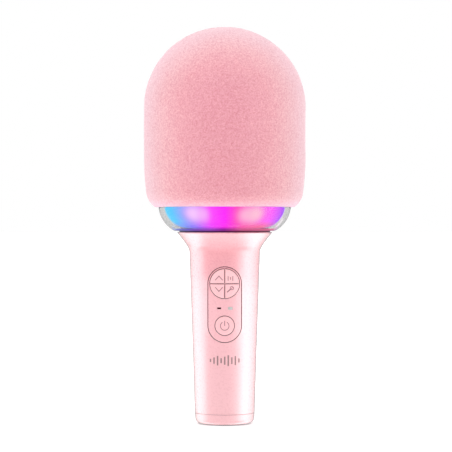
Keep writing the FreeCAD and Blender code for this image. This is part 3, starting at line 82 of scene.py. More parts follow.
class Graph:
    """A shader node tree with short calls for common nodes. Inputs take values or sockets."""

    def __init__(self, tree):
        self.tree = tree
        tree.nodes.clear()

    def node(self, kind, inputs=None, **props):
        node = self.tree.nodes.new(kind)
        for key, value in props.items():
            setattr(node, key, value)
        for key, value in (inputs or {}).items():
            self.put(node.inputs[key], value)
        return node

    def link(self, source, target):
        self.tree.links.new(source, target)

    def put(self, socket, value):
        if isinstance(value, bpy.types.NodeSocket):
            self.link(value, socket)
        else:
            socket.default_value = value

    def math(self, operation, a, b=0.0, clamp=False):
        return self.node("ShaderNodeMath", {0: a, 1: b}, operation=operation, use_clamp=clamp).outputs[0]

    def times(self, a, b):
        return self.math("MULTIPLY", a, b)

    def plus(self, a, b, clamp=False):
        return self.math("ADD", a, b, clamp)

    def inverse(self, value, clamp=False):
        """One minus the value."""
        return self.math("SUBTRACT", 1.0, value, clamp)

    def square_sum(self, a, b):
        return self.plus(self.times(a, a), self.times(b, b))

    def xyz(self):
        return self.node("ShaderNodeSeparateXYZ", {0: self.coords}).outputs

    def azimuth(self):
        """Angle round the z axis in radians from the front, positive to the right."""
        x, y, _ = self.xyz()
        return self.math("ARCTAN2", x, self.times(y, -1.0))

    def span(self, value, over=MIDBAND, to=(0.0, 1.0), **props):
        """Maps the value from one range to another, clamped."""
        inputs = {"Value": value, "From Min": over[0], "From Max": over[1], "To Min": to[0], "To Max": to[1]}
        return self.node("ShaderNodeMapRange", inputs, **props).outputs[0]

    def ramp(self, value, stops):
        """A colour by value; stops are (position, RGBA)."""
        node = self.node("ShaderNodeValToRGB", {0: value})
        elements = node.color_ramp.elements
        while len(elements) > 1:
            elements.remove(elements[-1])
        elements[0].position, elements[0].color = stops[0]
        for position, colour in stops[1:]:
            elements.new(position).color = colour
        return node.outputs[0]


class Mat(Graph):
    """A Principled material with object-space coordinates in metres."""

    def __init__(self, name):
        self.material = bpy.data.materials.new(name)
        self.material.use_nodes = True
        super().__init__(self.material.node_tree)
        out = self.node("ShaderNodeOutputMaterial")
        self.bsdf = self.node("ShaderNodeBsdfPrincipled")
        self.link(self.bsdf.outputs[0], out.inputs[0])
        self.coords = self.node("ShaderNodeTexCoord").outputs["Object"]

    def set(self, **values):
        """Sets shader inputs; underscores stand for spaces."""
        for key, value in values.items():
            self.put(self.bsdf.inputs[key.replace("_", " ")], value)

    def stretch(self, *scale):
        return self.node("ShaderNodeMapping", {"Scale": scale, 0: self.coords}).outputs[0]

    def noise(self, scale, detail=3.0, rough=0.55, vector=None, distortion=0.0):
        inputs = {
            "Scale": scale, "Detail": detail, "Roughness": rough, "Distortion": distortion,
            "Vector": vector or self.coords,
        }
        return self.node("ShaderNodeTexNoise", inputs).outputs[0]

    def cells(self, scale):
        inputs = {"Scale": scale, "Vector": self.coords}
        return self.node("ShaderNodeTexVoronoi", inputs).outputs["Distance"]

    def mix(self, factor, a, b, blend="MIX"):
        inputs = {0: factor, 6: a, 7: b}
        return self.node("ShaderNodeMix", inputs, data_type="RGBA", blend_type=blend).outputs[2]

    def two_tone(self, value, first, second, over=MIDBAND):
        """Goes from the first colour to the second as the value crosses the range."""
        return self.mix(self.span(value, over), first, second)

    def bump(self, height, strength, distance):
        """Adds relief, on top of any added before; distance in metres."""
        inputs = {"Strength": strength, "Distance": distance, "Height": height}
        node = self.node("ShaderNodeBump", inputs)
        normal = self.bsdf.inputs["Normal"]
        if normal.is_linked:
            self.link(normal.links[0].from_socket, node.inputs["Normal"])
        self.link(node.outputs[0], normal)

    def geometry(self, output):
        return self.node("ShaderNodeNewGeometry").outputs[output]

    def open_air(self):
        """1 in the open, 0 deep in a gap; the mask for the painted shade in gaps."""
        node = self.node("ShaderNodeAmbientOcclusion", {"Distance": 0.0009}, samples=6)
        return self.span(node.outputs["AO"], over=(0.30, 0.85))

    def facing(self):
        """0 towards the viewer, 1 edge-on."""
        return self.node("ShaderNodeLayerWeight", {"Blend": 0.5}).outputs["Facing"]

    def level_facing(self):
        """Facing as seen from above: 1 towards the viewer, 0 at the left and right edges."""
        geometry = self.node("ShaderNodeNewGeometry")
        flat = []
        for name in ("Normal", "Incoming"):
            inputs = {0: geometry.outputs[name], 1: (1.0, 1.0, 0.0)}
            level = self.node("ShaderNodeVectorMath", inputs, operation="MULTIPLY")
            unit = self.node("ShaderNodeVectorMath", {0: level.outputs[0]}, operation="NORMALIZE")
            flat.append(unit.outputs[0])
        inputs = {0: flat[0], 1: flat[1]}
        return self.node("ShaderNodeVectorMath", inputs, operation="DOT_PRODUCT").outputs["Value"]

    def wheel(self, stops):
        """A colour round the z axis; stops are (degrees from the front, r, g, b)."""
        turn = self.plus(self.math("DIVIDE", self.azimuth(), 2 * math.pi), 0.5)
        return self.ramp(turn, [((degrees + 180.0) / 360.0, srgb(*rgb)) for degrees, *rgb in stops])

    def waves(self, value, factor):
        return self.math("SINE", self.times(value, factor))

    def ridges(self, value, factor):
        return self.math("ABSOLUTE", self.waves(value, factor))

    def bands(self, value, pitch, threshold):
        """1 in the part of each pitch beyond the threshold, else 0."""
        return self.math("GREATER_THAN", self.math("FRACT", self.times(value, 1 / pitch)), threshold)


def give(mat, *names):
    for name in names:
        materials = NODES[name].data.materials
        materials.clear()
        materials.append(mat.material)


# ------------------------------------------------------------------ common materials


def plastic(name, colour, rough, blotch=0.04, grain=900.0):
    """Moulded plastic: faint cloudiness, uneven polish and a fine tool texture."""
    mat = Mat(name)
    cloud = mat.noise(28.0, detail=4.0, rough=0.6)
    smear = mat.noise(70.0, detail=5.0, rough=0.65)
    mat.set(
        Base_Color=mat.two_tone(cloud, scaled(colour, 1.0 - blotch), scaled(colour, 1.0 + blotch)),
        Roughness=mat.span(smear, over=(0.25, 0.75), to=(rough * 0.85, rough * 1.15)),
    )
    mat.bump(mat.noise(grain, detail=2.0), strength=0.35, distance=0.00002)
    return mat


def metal(name, colour, rough, lines=None):
    """Metal with dulled patches, its fine texture stretched into lines when they are given."""
    mat = Mat(name)
    fine = mat.noise(900.0, rough=0.7, vector=mat.stretch(*lines) if lines else None)
    patch = mat.noise(120.0, detail=4.0, rough=0.6)
    mat.set(
        Metallic=1.0,
        Base_Color=mat.two_tone(patch, colour, scaled(colour, 0.88), over=(0.35, 0.7)),
        Roughness=mat.span(fine, over=(0.2, 0.8), to=(rough * 0.7, rough * 1.35)),
    )
    mat.bump(fine, strength=0.25, distance=0.00002)
    return mat


def painted(name, colour, rough):
    """Powder coat: orange-peel surface, edges rubbed slightly lighter."""
    mat = Mat(name)
    peel = mat.noise(1400.0, detail=2.0)
    worn = mat.span(mat.geometry("Pointiness"), over=(0.52, 0.62), to=(0.0, 0.5))
    mat.set(
        Base_Color=mat.mix(worn, colour, (0.28, 0.28, 0.29, 1.0)),
        Roughness=mat.span(peel, to=(rough * 0.85, rough * 1.15)),
    )
    mat.bump(peel, strength=0.5, distance=0.00004)
    return mat


def jacket(name, colour):
    """The plastic skin of a lead."""
    mat = Mat(name)
    cloud = mat.noise(380.0)
    mat.set(
        Base_Color=mat.two_tone(cloud, scaled(colour, 0.85), scaled(colour, 1.12)),
        Roughness=mat.span(cloud, to=(0.4, 0.55)),
    )
    mat.bump(mat.noise(1600.0, detail=2.0), strength=0.3, distance=0.00002)
    return mat


def mesh_object(name, verts, faces, smooth=True):
    mesh = bpy.data.meshes.new(name)
    mesh.from_pydata([tuple(v) for v in verts], [], faces)
    mesh.update()
    if smooth:
        mesh.polygons.foreach_set("use_smooth", [True] * len(mesh.polygons))
    made = bpy.data.objects.new(name, mesh)
    scene.collection.objects.link(made)
    return made


# ------------------------------------------------------------------ foam windscreen

FOAM_LO, FOAM_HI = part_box("foam_windscreen")
FOAM_R = (FOAM_HI.x - FOAM_LO.x) / 2
FOAM_TOP, HEM_Z = FOAM_HI.z, FOAM_LO.z
DOME_Z = FOAM_TOP - FOAM_R  # centre of the outer dome
INNER_R = FOAM_R - 0.00975
INNER_DOME_Z = DOME_Z + 0.00055
WAIST_Z = 0.1600  # lower end of the straight side
HIP_R, HIP_Z = 0.0472, 0.1395  # where the long arc meets the lower roll
HEM_R = 0.0420
LONG_ARC_R, ROLL_R = 0.160, 0.0130
FOAM_SEGMENTS = 540
DOME_STEPS, SIDE_STEPS, ARC_STEPS, ROLL_STEPS = 76, 30, 22, 16
INNER_SIDE_STEPS, INNER_DOME_STEPS = 9, 15


def arc_centre(lower, upper, radius):
    """Centre, on the axis side, of an arc through two (radius, height) points."""
    dx, dz = upper[0] - lower[0], upper[1] - lower[1]
    chord = math.hypot(dx, dz)
    offset = math.sqrt(radius * radius - chord * chord / 4)
    mid_x, mid_z = (lower[0] + upper[0]) / 2, (lower[1] + upper[1]) / 2
    return mid_x - dz / chord * offset, mid_z + dx / chord * offset


def foam_outside():
    """Outer (radius, height) points from the pole down to the hem."""
    points = []
    for i in range(DOME_STEPS + 1):
        a = math.pi / 2 * i / DOME_STEPS
        points.append((FOAM_R * math.sin(a), DOME_Z + FOAM_R * math.cos(a)))
    for i in range(1, SIDE_STEPS + 1):
        points.append((FOAM_R, DOME_Z + (WAIST_Z - DOME_Z) * i / SIDE_STEPS))
    # long arc drawing in to the hip
    x, z = arc_centre((HIP_R, HIP_Z), (FOAM_R, WAIST_Z), LONG_ARC_R)
    for i in range(1, ARC_STEPS + 1):
        height = WAIST_Z + (HIP_Z - WAIST_Z) * (i / ARC_STEPS)
        points.append((x + math.sqrt(LONG_ARC_R**2 - (height - z) ** 2), height))
    # lower roll
    x, z = arc_centre((HEM_R, HEM_Z), (HIP_R, HIP_Z), ROLL_R)
    start = math.atan2(HIP_Z - z, HIP_R - x)
    end = math.atan2(HEM_Z - z, HEM_R - x)
    for i in range(1, ROLL_STEPS + 1):
        a = start + (end - start) * i / ROLL_STEPS
        points.append((x + ROLL_R * math.cos(a), z + ROLL_R * math.sin(a)))
    return points


def foam_inside():
    """Inner (radius, height) points from the hem up to the pole."""
    points = []
    for i in range(INNER_SIDE_STEPS):
        points.append((INNER_R, HEM_Z + (INNER_DOME_Z - HEM_Z) * i / INNER_SIDE_STEPS))
    for i in range(INNER_DOME_STEPS):
        a = math.pi / 2 * i / INNER_DOME_STEPS
        points.append((INNER_R * math.cos(a), INNER_DOME_Z + INNER_R * math.sin(a)))
    points.append((0.0, INNER_DOME_Z + INNER_R))
    return points


def grained(point):
    """The point moved along the surface normal by the foam's fine and broad unevenness."""
    normal = Vector((point.x, point.y, max(point.z - DOME_Z, 0.0))).normalized()
    p = point * 1000.0
    grain = noise.noise(p * 0.62) * 0.5 + noise.noise(p * 1.25 + Vector((9, 3, 7))) * 0.5
    broad = noise.noise(p * 0.055)
    return point + normal * (0.00016 * grain + 0.00022 * broad - 0.00012)


def build_foam():
    """The profile turned round z, with grain on the outer skin."""
    outside = foam_outside()
    verts, rows, faces = [], [], []
    for index, (radius, z) in enumerate(outside + foam_inside()):
        count = FOAM_SEGMENTS if radius > 1e-6 else 1
        rows.append(range(len(verts), len(verts) + count))
        for k in range(count):
            a = 2 * math.pi * k / FOAM_SEGMENTS
            point = Vector((radius * math.cos(a), radius * math.sin(a), z))
            verts.append(grained(point) if index < len(outside) else point)
    for this, following in zip(rows, rows[1:]):
        for k in range(FOAM_SEGMENTS):
            j = (k + 1) % FOAM_SEGMENTS
            if len(this) == 1:
                faces.append((this[0], following[k], following[j]))
            elif len(following) == 1:
                faces.append((this[k], following[0], this[j]))
            else:
                faces.append((this[k], following[k], following[j], this[j]))
    return mesh_object("foam_cover", verts, faces)


# how the foam should look, with painted sheen that lightens it towards edge-on: (facing, r, g, b), from
# towards the viewer to edge-on
FOAM_SHEEN_TONES = [
    (0.0, 238, 165, 177), (0.071, 241, 171, 182), (0.17, 245, 178, 187),
    (0.333, 247, 190, 197), (0.639, 248, 206, 214), (0.9, 250, 214, 222),
]
STUDIO_GAIN = 1.345  # how much the studio light lifts the foam's pigment
SPECKLE_POWERS = (0.45, 1.0, 0.85)  # how strongly the speckle moves red, green and blue


def foam_pink():
    mat = Mat("foam_pink")
    tones = []
    for facing, *rgb in FOAM_SHEEN_TONES:
        tones.append((facing, (*(c / STUDIO_GAIN for c in srgb(*rgb)[:3]), 1.0)))
    # painted sheen: the colour ramps lighter as the surface turns edge-on
    tone = mat.ramp(mat.facing(), tones)
    fine = mat.noise(1350.0, detail=1.5, rough=0.6)
    grit = mat.noise(820.0, detail=2.0, rough=0.6)
    pores = mat.cells(900.0)
    soft = mat.noise(30.0, rough=0.5)
    speckle = mat.plus(
        mat.span(fine, over=(0.36, 0.64), to=(-0.125, 0.125)),
        mat.span(grit, over=(0.34, 0.66), to=(-0.105, 0.105)),
    )
    speckle = mat.plus(speckle, mat.span(pores, over=(0.1, 0.75), to=(0.05, -0.06)))
    speckle = mat.plus(speckle, mat.span(soft, to=(-0.012, 0.012)))
    level = mat.plus(speckle, 1.0)
    powers = {k: mat.math("POWER", level, power) for k, power in enumerate(SPECKLE_POWERS)}
    speckle_colour = mat.node("ShaderNodeCombineXYZ", powers).outputs[0]
    # the bowl's light spills onto the hem
    spill = mat.span(mat.xyz()[2], over=(HEM_Z + 0.0002, HEM_Z + 0.0052), to=(1.0, 0.0))
    mat.set(
        Base_Color=mat.mix(1.0, tone, speckle_colour, "MULTIPLY"),
        Roughness=0.95,
        Specular_IOR_Level=0.1,
        Sheen_Weight=0.10,
        Sheen_Roughness=0.5,
        Sheen_Tint=(1.0, 0.86, 0.89, 1.0),
        Subsurface_Weight=0.10,
        Subsurface_Radius=(1.0, 0.5, 0.5),
        Subsurface_Scale=0.002,
        Emission_Color=srgb(190, 105, 195),
        Emission_Strength=mat.times(mat.math("POWER", spill, 1.6), 0.17),
    )
    mat.bump(grit, strength=0.45, distance=0.0004)
    mat.bump(fine, strength=0.4, distance=0.00022)
    mat.bump(pores, strength=0.3, distance=0.0003)
    return mat


foam = build_foam()
foam.data.materials.append(foam_pink().material)
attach(foam, "windscreen")
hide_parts("foam_windscreen")

# ------------------------------------------------------------------ pink shell and keys

BARREL_LO, BARREL_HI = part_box("handle_barrel")
FLARE_TOP = BARREL_HI.z
# the shell's pink with painted shade by height, (height in mm, r, g, b): deeper round the neck, paler down
# the grip
SHELL_SHADED_PINKS = [
    (0.0, 250, 197, 202), (30.0, 242, 187, 193), (76.0, 236, 177, 184),
    (90.0, 229, 160, 169), (104.0, 236, 160, 168), (112.0, 240, 178, 184),
]
# painted shade: the colour painted deep in the gaps between parts
GAP_SHADE_COLOUR = srgb(34, 24, 26)  # deep in the gaps between parts
# painted shade on the flare's lip under the bowl, from 1.9 mm below the top (0) to the top (1)
LIP_SHADE = [
    (0.0, (1, 1, 1, 1)), (0.30, (0.92, 0.87, 0.90, 1)),
    (0.62, (0.60, 0.48, 0.55, 1)), (1.0, (0.44, 0.31, 0.39, 1)),
]


def shaded_pink_by_height(mat, factor):
    stops = [(mm / 120.0, scaled(srgb(*rgb), factor)) for mm, *rgb in SHELL_SHADED_PINKS]
    return mat.ramp(mat.span(mat.xyz()[2], over=(0.0, 0.120)), stops)


def shell_gloss_pink():
    mat = Mat("shell_gloss_pink")
    cloud = mat.noise(22.0, rough=0.5)
    # painted shade: the pink changes with height
    base = mat.two_tone(cloud, shaded_pink_by_height(mat, 0.995), shaded_pink_by_height(mat, 1.005))
    pearl = mat.span(mat.noise(5200.0, detail=1.0, rough=0.5), over=(0.55, 0.75), to=(0.0, 0.08))
    base = mat.mix(pearl, base, srgb(255, 226, 228))
    open_air = mat.open_air()
    # painted shade deep in the gaps
    base = mat.mix(open_air, GAP_SHADE_COLOUR, base)
    # painted reflection: a thin greyer outline where the surface runs away from the eye
    edge_reflection = mat.span(mat.facing(), over=(0.70, 0.93), to=(0.0, 0.95))
    base = mat.mix(edge_reflection, base, srgb(202, 193, 196))
    # painted shade on the lip under the bowl
    lip = mat.ramp(mat.span(mat.xyz()[2], over=(FLARE_TOP - 0.0019, FLARE_TOP)), LIP_SHADE)
    lip_light = mat.node("ShaderNodeSeparateColor", {0: lip}).outputs[0]
    polish = mat.times(open_air, lip_light)
    mat.set(
        Base_Color=mat.mix(1.0, base, lip, "MULTIPLY"),
        Roughness=mat.span(mat.noise(900.0, rough=0.6), to=(0.26, 0.30)),
        Specular_IOR_Level=mat.times(polish, 0.5),
        Coat_Weight=polish,
        Coat_Roughness=mat.span(mat.noise(1300.0, rough=0.6), to=(0.08, 0.10)),
        Coat_IOR=1.7,
    )
    mat.bump(mat.noise(300.0, detail=2.0), strength=0.025, distance=0.00002)
    return mat


def key_satin_pink():
    mat = Mat("key_satin_pink")
    pink = srgb(243, 187, 192)
    # painted shade in the gaps round the keys
    open_air = mat.open_air()
    base = mat.two_tone(mat.noise(160.0), scaled(pink, 0.985), scaled(pink, 1.015))
    mat.set(
        Base_Color=mat.mix(open_air, GAP_SHADE_COLOUR, base),
        Roughness=mat.span(mat.noise(1100.0, detail=4.0), to=(0.36, 0.44)),
        Specular_IOR_Level=mat.times(open_air, 0.5),
        Coat_Weight=mat.times(open_air, 0.35),
        Coat_Roughness=0.2,
        Subsurface_Weight=0.05,
        Subsurface_Scale=0.002,
    )
    mat.bump(mat.noise(2400.0, detail=2.0), strength=0.25, distance=0.00002)
    return mat


give(shell_gloss_pink(), "handle_barrel", "control_panel", "bottom_cap")
give(key_satin_pink(), "key_up", "key_mode", "key_down", "key_voice", "power_key")

# ------------------------------------------------------------------ clear bowl and diffuser

DIFFUSER_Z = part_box("light_diffuser")[0].z  # lower edge

# colours round the diffuser at three heights: (degrees from the front, r, g, b)
UPPER_GLOW = [
    (-180, 120, 90, 255), (-125, 60, 225, 235), (-60, 80, 200, 255), (-35, 175, 145, 250),
    (-15, 255, 80, 255), (0, 255, 45, 250), (12, 255, 75, 190), (30, 250, 120, 210),
    (50, 255, 100, 250), (75, 155, 65, 250), (130, 180, 150, 255), (180, 120, 90, 255),
]
MIDDLE_GLOW = [
    (-180, 110, 80, 250), (-125, 60, 190, 235), (-60, 115, 160, 250), (-35, 150, 110, 250),
    (-15, 245, 65, 255), (0, 255, 45, 240), (20, 250, 80, 175), (50, 250, 110, 160),
    (75, 205, 100, 215), (105, 120, 100, 250), (180, 110, 80, 250),
]
LOWER_GLOW = [
    (-180, 90, 60, 220), (-75, 110, 145, 215), (-40, 120, 85, 215), (-15, 170, 60, 210),
    (0, 165, 30, 170), (20, 230, 85, 150), (60, 235, 105, 150), (110, 150, 90, 200),
    (180, 90, 60, 220),
]
# soft patches in front of the lamps:
# (azimuth in degrees, height, width in degrees, tallness, colour, strength)
LAMP_PATCHES = [
    (-31, 0.1254, 10.0, 0.0046, (248, 198, 255), 1.0),
    (-21, 0.1250, 6.2, 0.0040, (255, 182, 254), 0.75),
    (21, 0.1246, 8.5, 0.0044, (254, 182, 216), 0.9),
    (31, 0.1250, 8.5, 0.0046, (255, 194, 216), 0.95),
    (103, 0.1250, 12.0, 0.0045, (206, 200, 255), 0.8),
    (154, 0.1250, 12.0, 0.0045, (246, 190, 255), 0.8),
    (-103, 0.1250, 12.0, 0.0045, (205, 250, 252), 0.7),
    (-154, 0.1250, 12.0, 0.0045, (200, 215, 255), 0.7),
]


def diffuser_glow():
    mat = Mat("diffuser_glow")
    z = mat.xyz()[2]
    azimuth = mat.azimuth()

    def offset(value, centre, size):
        return mat.math("DIVIDE", mat.math("SUBTRACT", value, centre), size)

    upper, middle, lower = (mat.wheel(stops) for stops in (UPPER_GLOW, MIDDLE_GLOW, LOWER_GLOW))
    hue = mat.two_tone(z, middle, upper, over=(0.1182, 0.1212))
    hue = mat.two_tone(z, lower, hue, over=(0.1160, 0.1180))
    for degrees, height, width, tallness, colour, strength in LAMP_PATCHES:
        across = offset(azimuth, math.radians(degrees), math.radians(width))
        upward = offset(z, height, tallness)
        falloff = mat.math("POWER", mat.square_sum(across, upward), 1.25)
        patch = mat.math("EXPONENT", mat.times(falloff, -1.0))
        hue = mat.mix(mat.times(patch, strength), hue, srgb(*colour))

    # painted reflection: the clear wall pales the colour to grey at the left edge and to a pale highlight at
    # the right edge
    edge_on = mat.level_facing()
    left_start = mat.span(z, over=(0.1175, 0.1270), to=(0.42, 0.20))
    left_fade = mat.span(edge_on, over=(left_start, 0.02))
    right_start = mat.span(z, over=(0.1175, 0.1270), to=(0.30, 0.17))
    right_fade = mat.span(edge_on, over=(right_start, 0.06))
    on_right = mat.math("GREATER_THAN", azimuth, 0.0)
    hue = mat.mix(mat.times(mat.inverse(on_right), left_fade), hue, srgb(206, 216, 218))
    hue = mat.mix(mat.times(on_right, right_fade), hue, srgb(246, 236, 253))

    mottle = mat.noise(55.0, rough=0.6)
    low_fade = mat.span(z, over=(DIFFUSER_Z - 0.0002, DIFFUSER_Z + 0.0010), to=(0.66, 1.02))
    mat.set(
        Base_Color=mat.mix(mottle, srgb(10, 5, 12), srgb(16, 8, 18)),
        Roughness=0.5,
        Specular_IOR_Level=0.0,
        Emission_Color=hue,
        Emission_Strength=mat.times(low_fade, mat.span(mottle, to=(0.97, 1.03))),
    )
    mat.bump(mat.noise(900.0, detail=2.0), strength=0.2, distance=0.00003)
    return mat


def bowl_clear():
    mat = Mat("bowl_clear")
    z = mat.xyz()[2]
    facing = mat.level_facing()
    # painted glow and painted shade: the floor of the bowl below the diffuser is darkened and lit with light
    # carried down
    foot = mat.times(
        mat.span(z, over=(DIFFUSER_Z - 0.0001, DIFFUSER_Z + 0.0002), to=(1.0, 0.0)),
        mat.span(facing, over=(0.16, 0.42)),
    )
    foot_light = mat.span(z, over=(DIFFUSER_Z - 0.0013, DIFFUSER_Z - 0.0001), to=(0.34, 0.92))
    carried = mat.times(foot, foot_light)
    # painted highlight: a pale crescent in the thick of the wall, low on the right
    crescent_at, crescent_width = 0.385, 0.085  # in level facing
    away = mat.math("DIVIDE", mat.math("SUBTRACT", facing, crescent_at), crescent_width)
    crescent = mat.inverse(mat.math("ABSOLUTE", away), clamp=True)
    crescent = mat.times(crescent, mat.span(z, over=(0.1215, 0.1245), to=(1.0, 0.0)))
    above_foot = mat.span(z, over=(DIFFUSER_Z + 0.0002, DIFFUSER_Z + 0.0012))
    crescent = mat.times(crescent, above_foot)
    crescent = mat.times(crescent, mat.math("GREATER_THAN", mat.azimuth(), 0.0))
    crescent = mat.times(crescent, mat.inverse(mat.geometry("Backfacing")))
    mat.set(
        Base_Color=mat.mix(foot, srgb(252, 253, 254), srgb(24, 14, 26)),
        Roughness=mat.span(mat.noise(120.0, detail=4.0), to=(0.0, 0.02)),
        IOR=1.07,
        Transmission_Weight=1.0,
        Coat_Weight=0.12,
        Coat_IOR=1.5,
        Coat_Roughness=mat.span(mat.noise(160.0, detail=4.0), to=(0.03, 0.07)),
        Emission_Color=mat.mix(crescent, mat.wheel(LOWER_GLOW), srgb(252, 236, 255)),
        Emission_Strength=mat.plus(carried, mat.times(crescent, 0.34)),
    )
    mat.bump(mat.noise(34.0, rough=0.5, distortion=0.4), strength=0.04, distance=0.0002)
    return mat


def lamp_package():
    mat = Mat("lamp_package")
    mat.set(
        Base_Color=srgb(245, 245, 235),
        Roughness=mat.span(mat.noise(800.0, detail=2.0), to=(0.25, 0.4)),
        Emission_Color=srgb(255, 210, 245),
        Emission_Strength=mat.span(mat.cells(420.0), over=(0.0, 0.6), to=(2.0, 0.6)),
    )
    return mat


def seam_shade_glow():
    # painted shade in the seam's gap, with a painted glow in the lower lamp colours
    mat = Mat("seam_shade_glow")
    mat.set(
        Base_Color=mat.two_tone(mat.noise(300.0), srgb(44, 10, 32), srgb(62, 16, 44)),
        Roughness=0.6,
        Specular_IOR_Level=0.2,
        Emission_Color=mat.wheel(LOWER_GLOW),
        Emission_Strength=0.09,
    )
    mat.bump(mat.noise(2000.0, detail=2.0), strength=0.4, distance=0.00003)
    return mat


give(diffuser_glow(), "light_diffuser")
give(bowl_clear(), "clear_bowl")
give(lamp_package(), "lamp_chips")
give(seam_shade_glow(), "seam_gasket")

# ------------------------------------------------------------------ indicator windows


def window(name, first, second, rough, **finish):
    mat = Mat(name)
    mat.set(
        Base_Color=mat.two_tone(mat.noise(500.0, detail=2.0), first, second),
        Roughness=mat.span(mat.noise(700.0, detail=2.0), to=rough),
        **finish,
    )
    return mat


give(
    window("window_dark_red", srgb(44, 5, 10), srgb(62, 10, 16), rough=(0.12, 0.22),
           Specular_IOR_Level=0.2, Coat_Weight=0.1),
    "indicator_window_left",
)
give(
    window("window_pale", srgb(176, 184, 182), srgb(200, 204, 202), rough=(0.15, 0.28),
           Subsurface_Weight=0.3, Subsurface_Scale=0.001),
    "indicator_window_right",
)

# ------------------------------------------------------------------ head hardware


def liner_woven_steel():
    mat = Mat("liner_woven_steel")
    x, y, z = mat.xyz()
    upright = mat.ridges(mat.math("ARCTAN2", y, x), 180.0)  # 360 wires round the axis
    level = mat.ridges(z, math.pi / 0.0007)
    weave = mat.math("MAXIMUM", upright, level)
    mat.set(
        Base_Color=mat.two_tone(weave, (0.01, 0.01, 0.011, 1), srgb(92, 92, 96), over=(0.55, 0.95)),
        Metallic=0.85,
        Roughness=mat.span(mat.noise(700.0), to=(0.35, 0.55)),
    )
    mat.bump(weave, strength=0.8, distance=0.0002)
    return mat


def rubber_black():
    mat = Mat("rubber_black")
    black = (0.018, 0.018, 0.018, 1)
    dust = mat.noise(220.0, detail=5.0, rough=0.7)
    dusty = mat.span(dust, over=(0.45, 0.8), to=(0.0, 0.35))
    mat.set(
        Base_Color=mat.mix(dusty, black, scaled(black, 2.2)),
        Roughness=mat.span(dust, over=(0.2, 0.8), to=(0.63, 0.84)),
    )
    mat.bump(mat.noise(2600.0, detail=2.0), strength=0.5, distance=0.00003)
    return mat


def ferrite_grey():
    mat = Mat("ferrite_grey")
    cloud = mat.noise(700.0, detail=4.0, rough=0.7)
    mat.set(
        Base_Color=mat.two_tone(cloud, srgb(48, 48, 50), srgb(74, 74, 76), over=(0.35, 0.7)),
        Roughness=0.65,
        Metallic=0.2,
    )
    mat.bump(mat.noise(1500.0, detail=4.0, rough=0.7), strength=0.6, distance=0.00006)
    return mat


def cone_pressed_paper():
    mat = Mat("cone_pressed_paper")
    fibres = mat.noise(500.0, detail=6.0, rough=0.75, distortion=1.2)
    mat.set(
        Base_Color=mat.two_tone(fibres, srgb(28, 28, 29), srgb(58, 57, 57), over=(0.35, 0.65)),
        Roughness=0.85,
        Sheen_Weight=0.15,
    )
    mat.bump(fibres, strength=0.7, distance=0.00012)
    return mat


def coil_copper():
    mat = Mat("coil_copper")
    turns = mat.ridges(mat.xyz()[2], math.pi / 0.00022)
    mat.set(
        Base_Color=mat.mix(turns, srgb(120, 60, 30), srgb(214, 132, 82)),
        Metallic=0.9,
        Roughness=mat.span(turns, over=(0.0, 1.0), to=(0.5, 0.28)),
    )
    mat.bump(turns, strength=0.8, distance=0.0001)
    return mat


def spider_resin_cloth():
    mat = Mat("spider_resin_cloth")
    x, y, _ = mat.xyz()
    threads = math.pi / 0.0005
    weave = mat.times(mat.waves(x, threads), mat.waves(y, threads))
    mat.set(
        Base_Color=mat.two_tone(weave, srgb(150, 112, 48), srgb(206, 168, 92), over=(-1.0, 1.0)),
        Roughness=0.7,
        Sheen_Weight=0.2,
    )
    mat.bump(weave, strength=0.6, distance=0.0001)
    return mat


def foam_black():
    mat = Mat("foam_black")
    pores = mat.cells(1300.0)
    mat.set(
        Base_Color=mat.two_tone(pores, srgb(52, 52, 54), srgb(16, 16, 17), over=(0.0, 0.8)),
        Roughness=0.95,
        Sheen_Weight=0.2,
    )
    mat.bump(pores, strength=0.9, distance=0.0004)
    return mat


give(painted("cage_powder_black", srgb(34, 34, 36), rough=0.5), "grille_cage")
give(liner_woven_steel(), "grille_mesh_liner")
give(
    plastic("moulding_natural_white", srgb(224, 218, 221), rough=0.45, grain=700.0),
    "speaker_chamber",
)
give(
    plastic("moulding_black", srgb(30, 30, 32), rough=0.5, blotch=0.1),
    "capsule_bridge", "inner_chassis",
)
give(rubber_black(), "cable_grommet", "capsule_mount", "speaker_surround")
give(
    metal("screw_zinc", srgb(176, 178, 184), rough=0.3),
    "grille_screws", "speaker_screws", "bridge_screws", "board_screws",
    "chassis_screws", "head_screws", "cap_screws",
)
give(
    metal("zinc_plate", srgb(190, 188, 180), rough=0.35, lines=(1, 1, 14)),
    "speaker_top_plate", "speaker_yoke",
)
give(painted("speaker_frame_black", srgb(40, 40, 43), rough=0.4), "speaker_frame")
give(ferrite_grey(), "speaker_magnet")
give(cone_pressed_paper(), "speaker_cone", "dust_cap")
give(coil_copper(), "voice_coil")
give(spider_resin_cloth(), "speaker_spider")
give(foam_black(), "pop_foam_disc", "speaker_gasket")
give(metal("capsule_can_satin", srgb(200, 200, 203), rough=0.34), "microphone_capsule")
give(plastic("strip_white_mask", srgb(240, 240, 234), rough=0.3, grain=1200.0), "lamp_strip")

# ------------------------------------------------------------------ electronics


def board_green_mask():
    mat = Mat("board_green_mask")
    x, _, z = mat.xyz()
    pitch = 0.00127
    upright = mat.bands(x, pitch, threshold=0.68)
    level = mat.bands(z, pitch, threshold=0.7)
    zone = mat.math("GREATER_THAN", mat.noise(130.0, detail=1.0, rough=0.4), 0.5)
    traces = mat.plus(mat.times(upright, zone), mat.times(level, mat.inverse(zone)), clamp=True)
    mat.set(
        Base_Color=mat.mix(traces, srgb(14, 84, 48), srgb(40, 122, 72)),
        Roughness=mat.span(mat.noise(600.0), to=(0.25, 0.4)),
        Coat_Weight=0.5,
        Coat_Roughness=0.15,
    )
    mat.bump(traces, strength=0.4, distance=0.00004)
    return mat


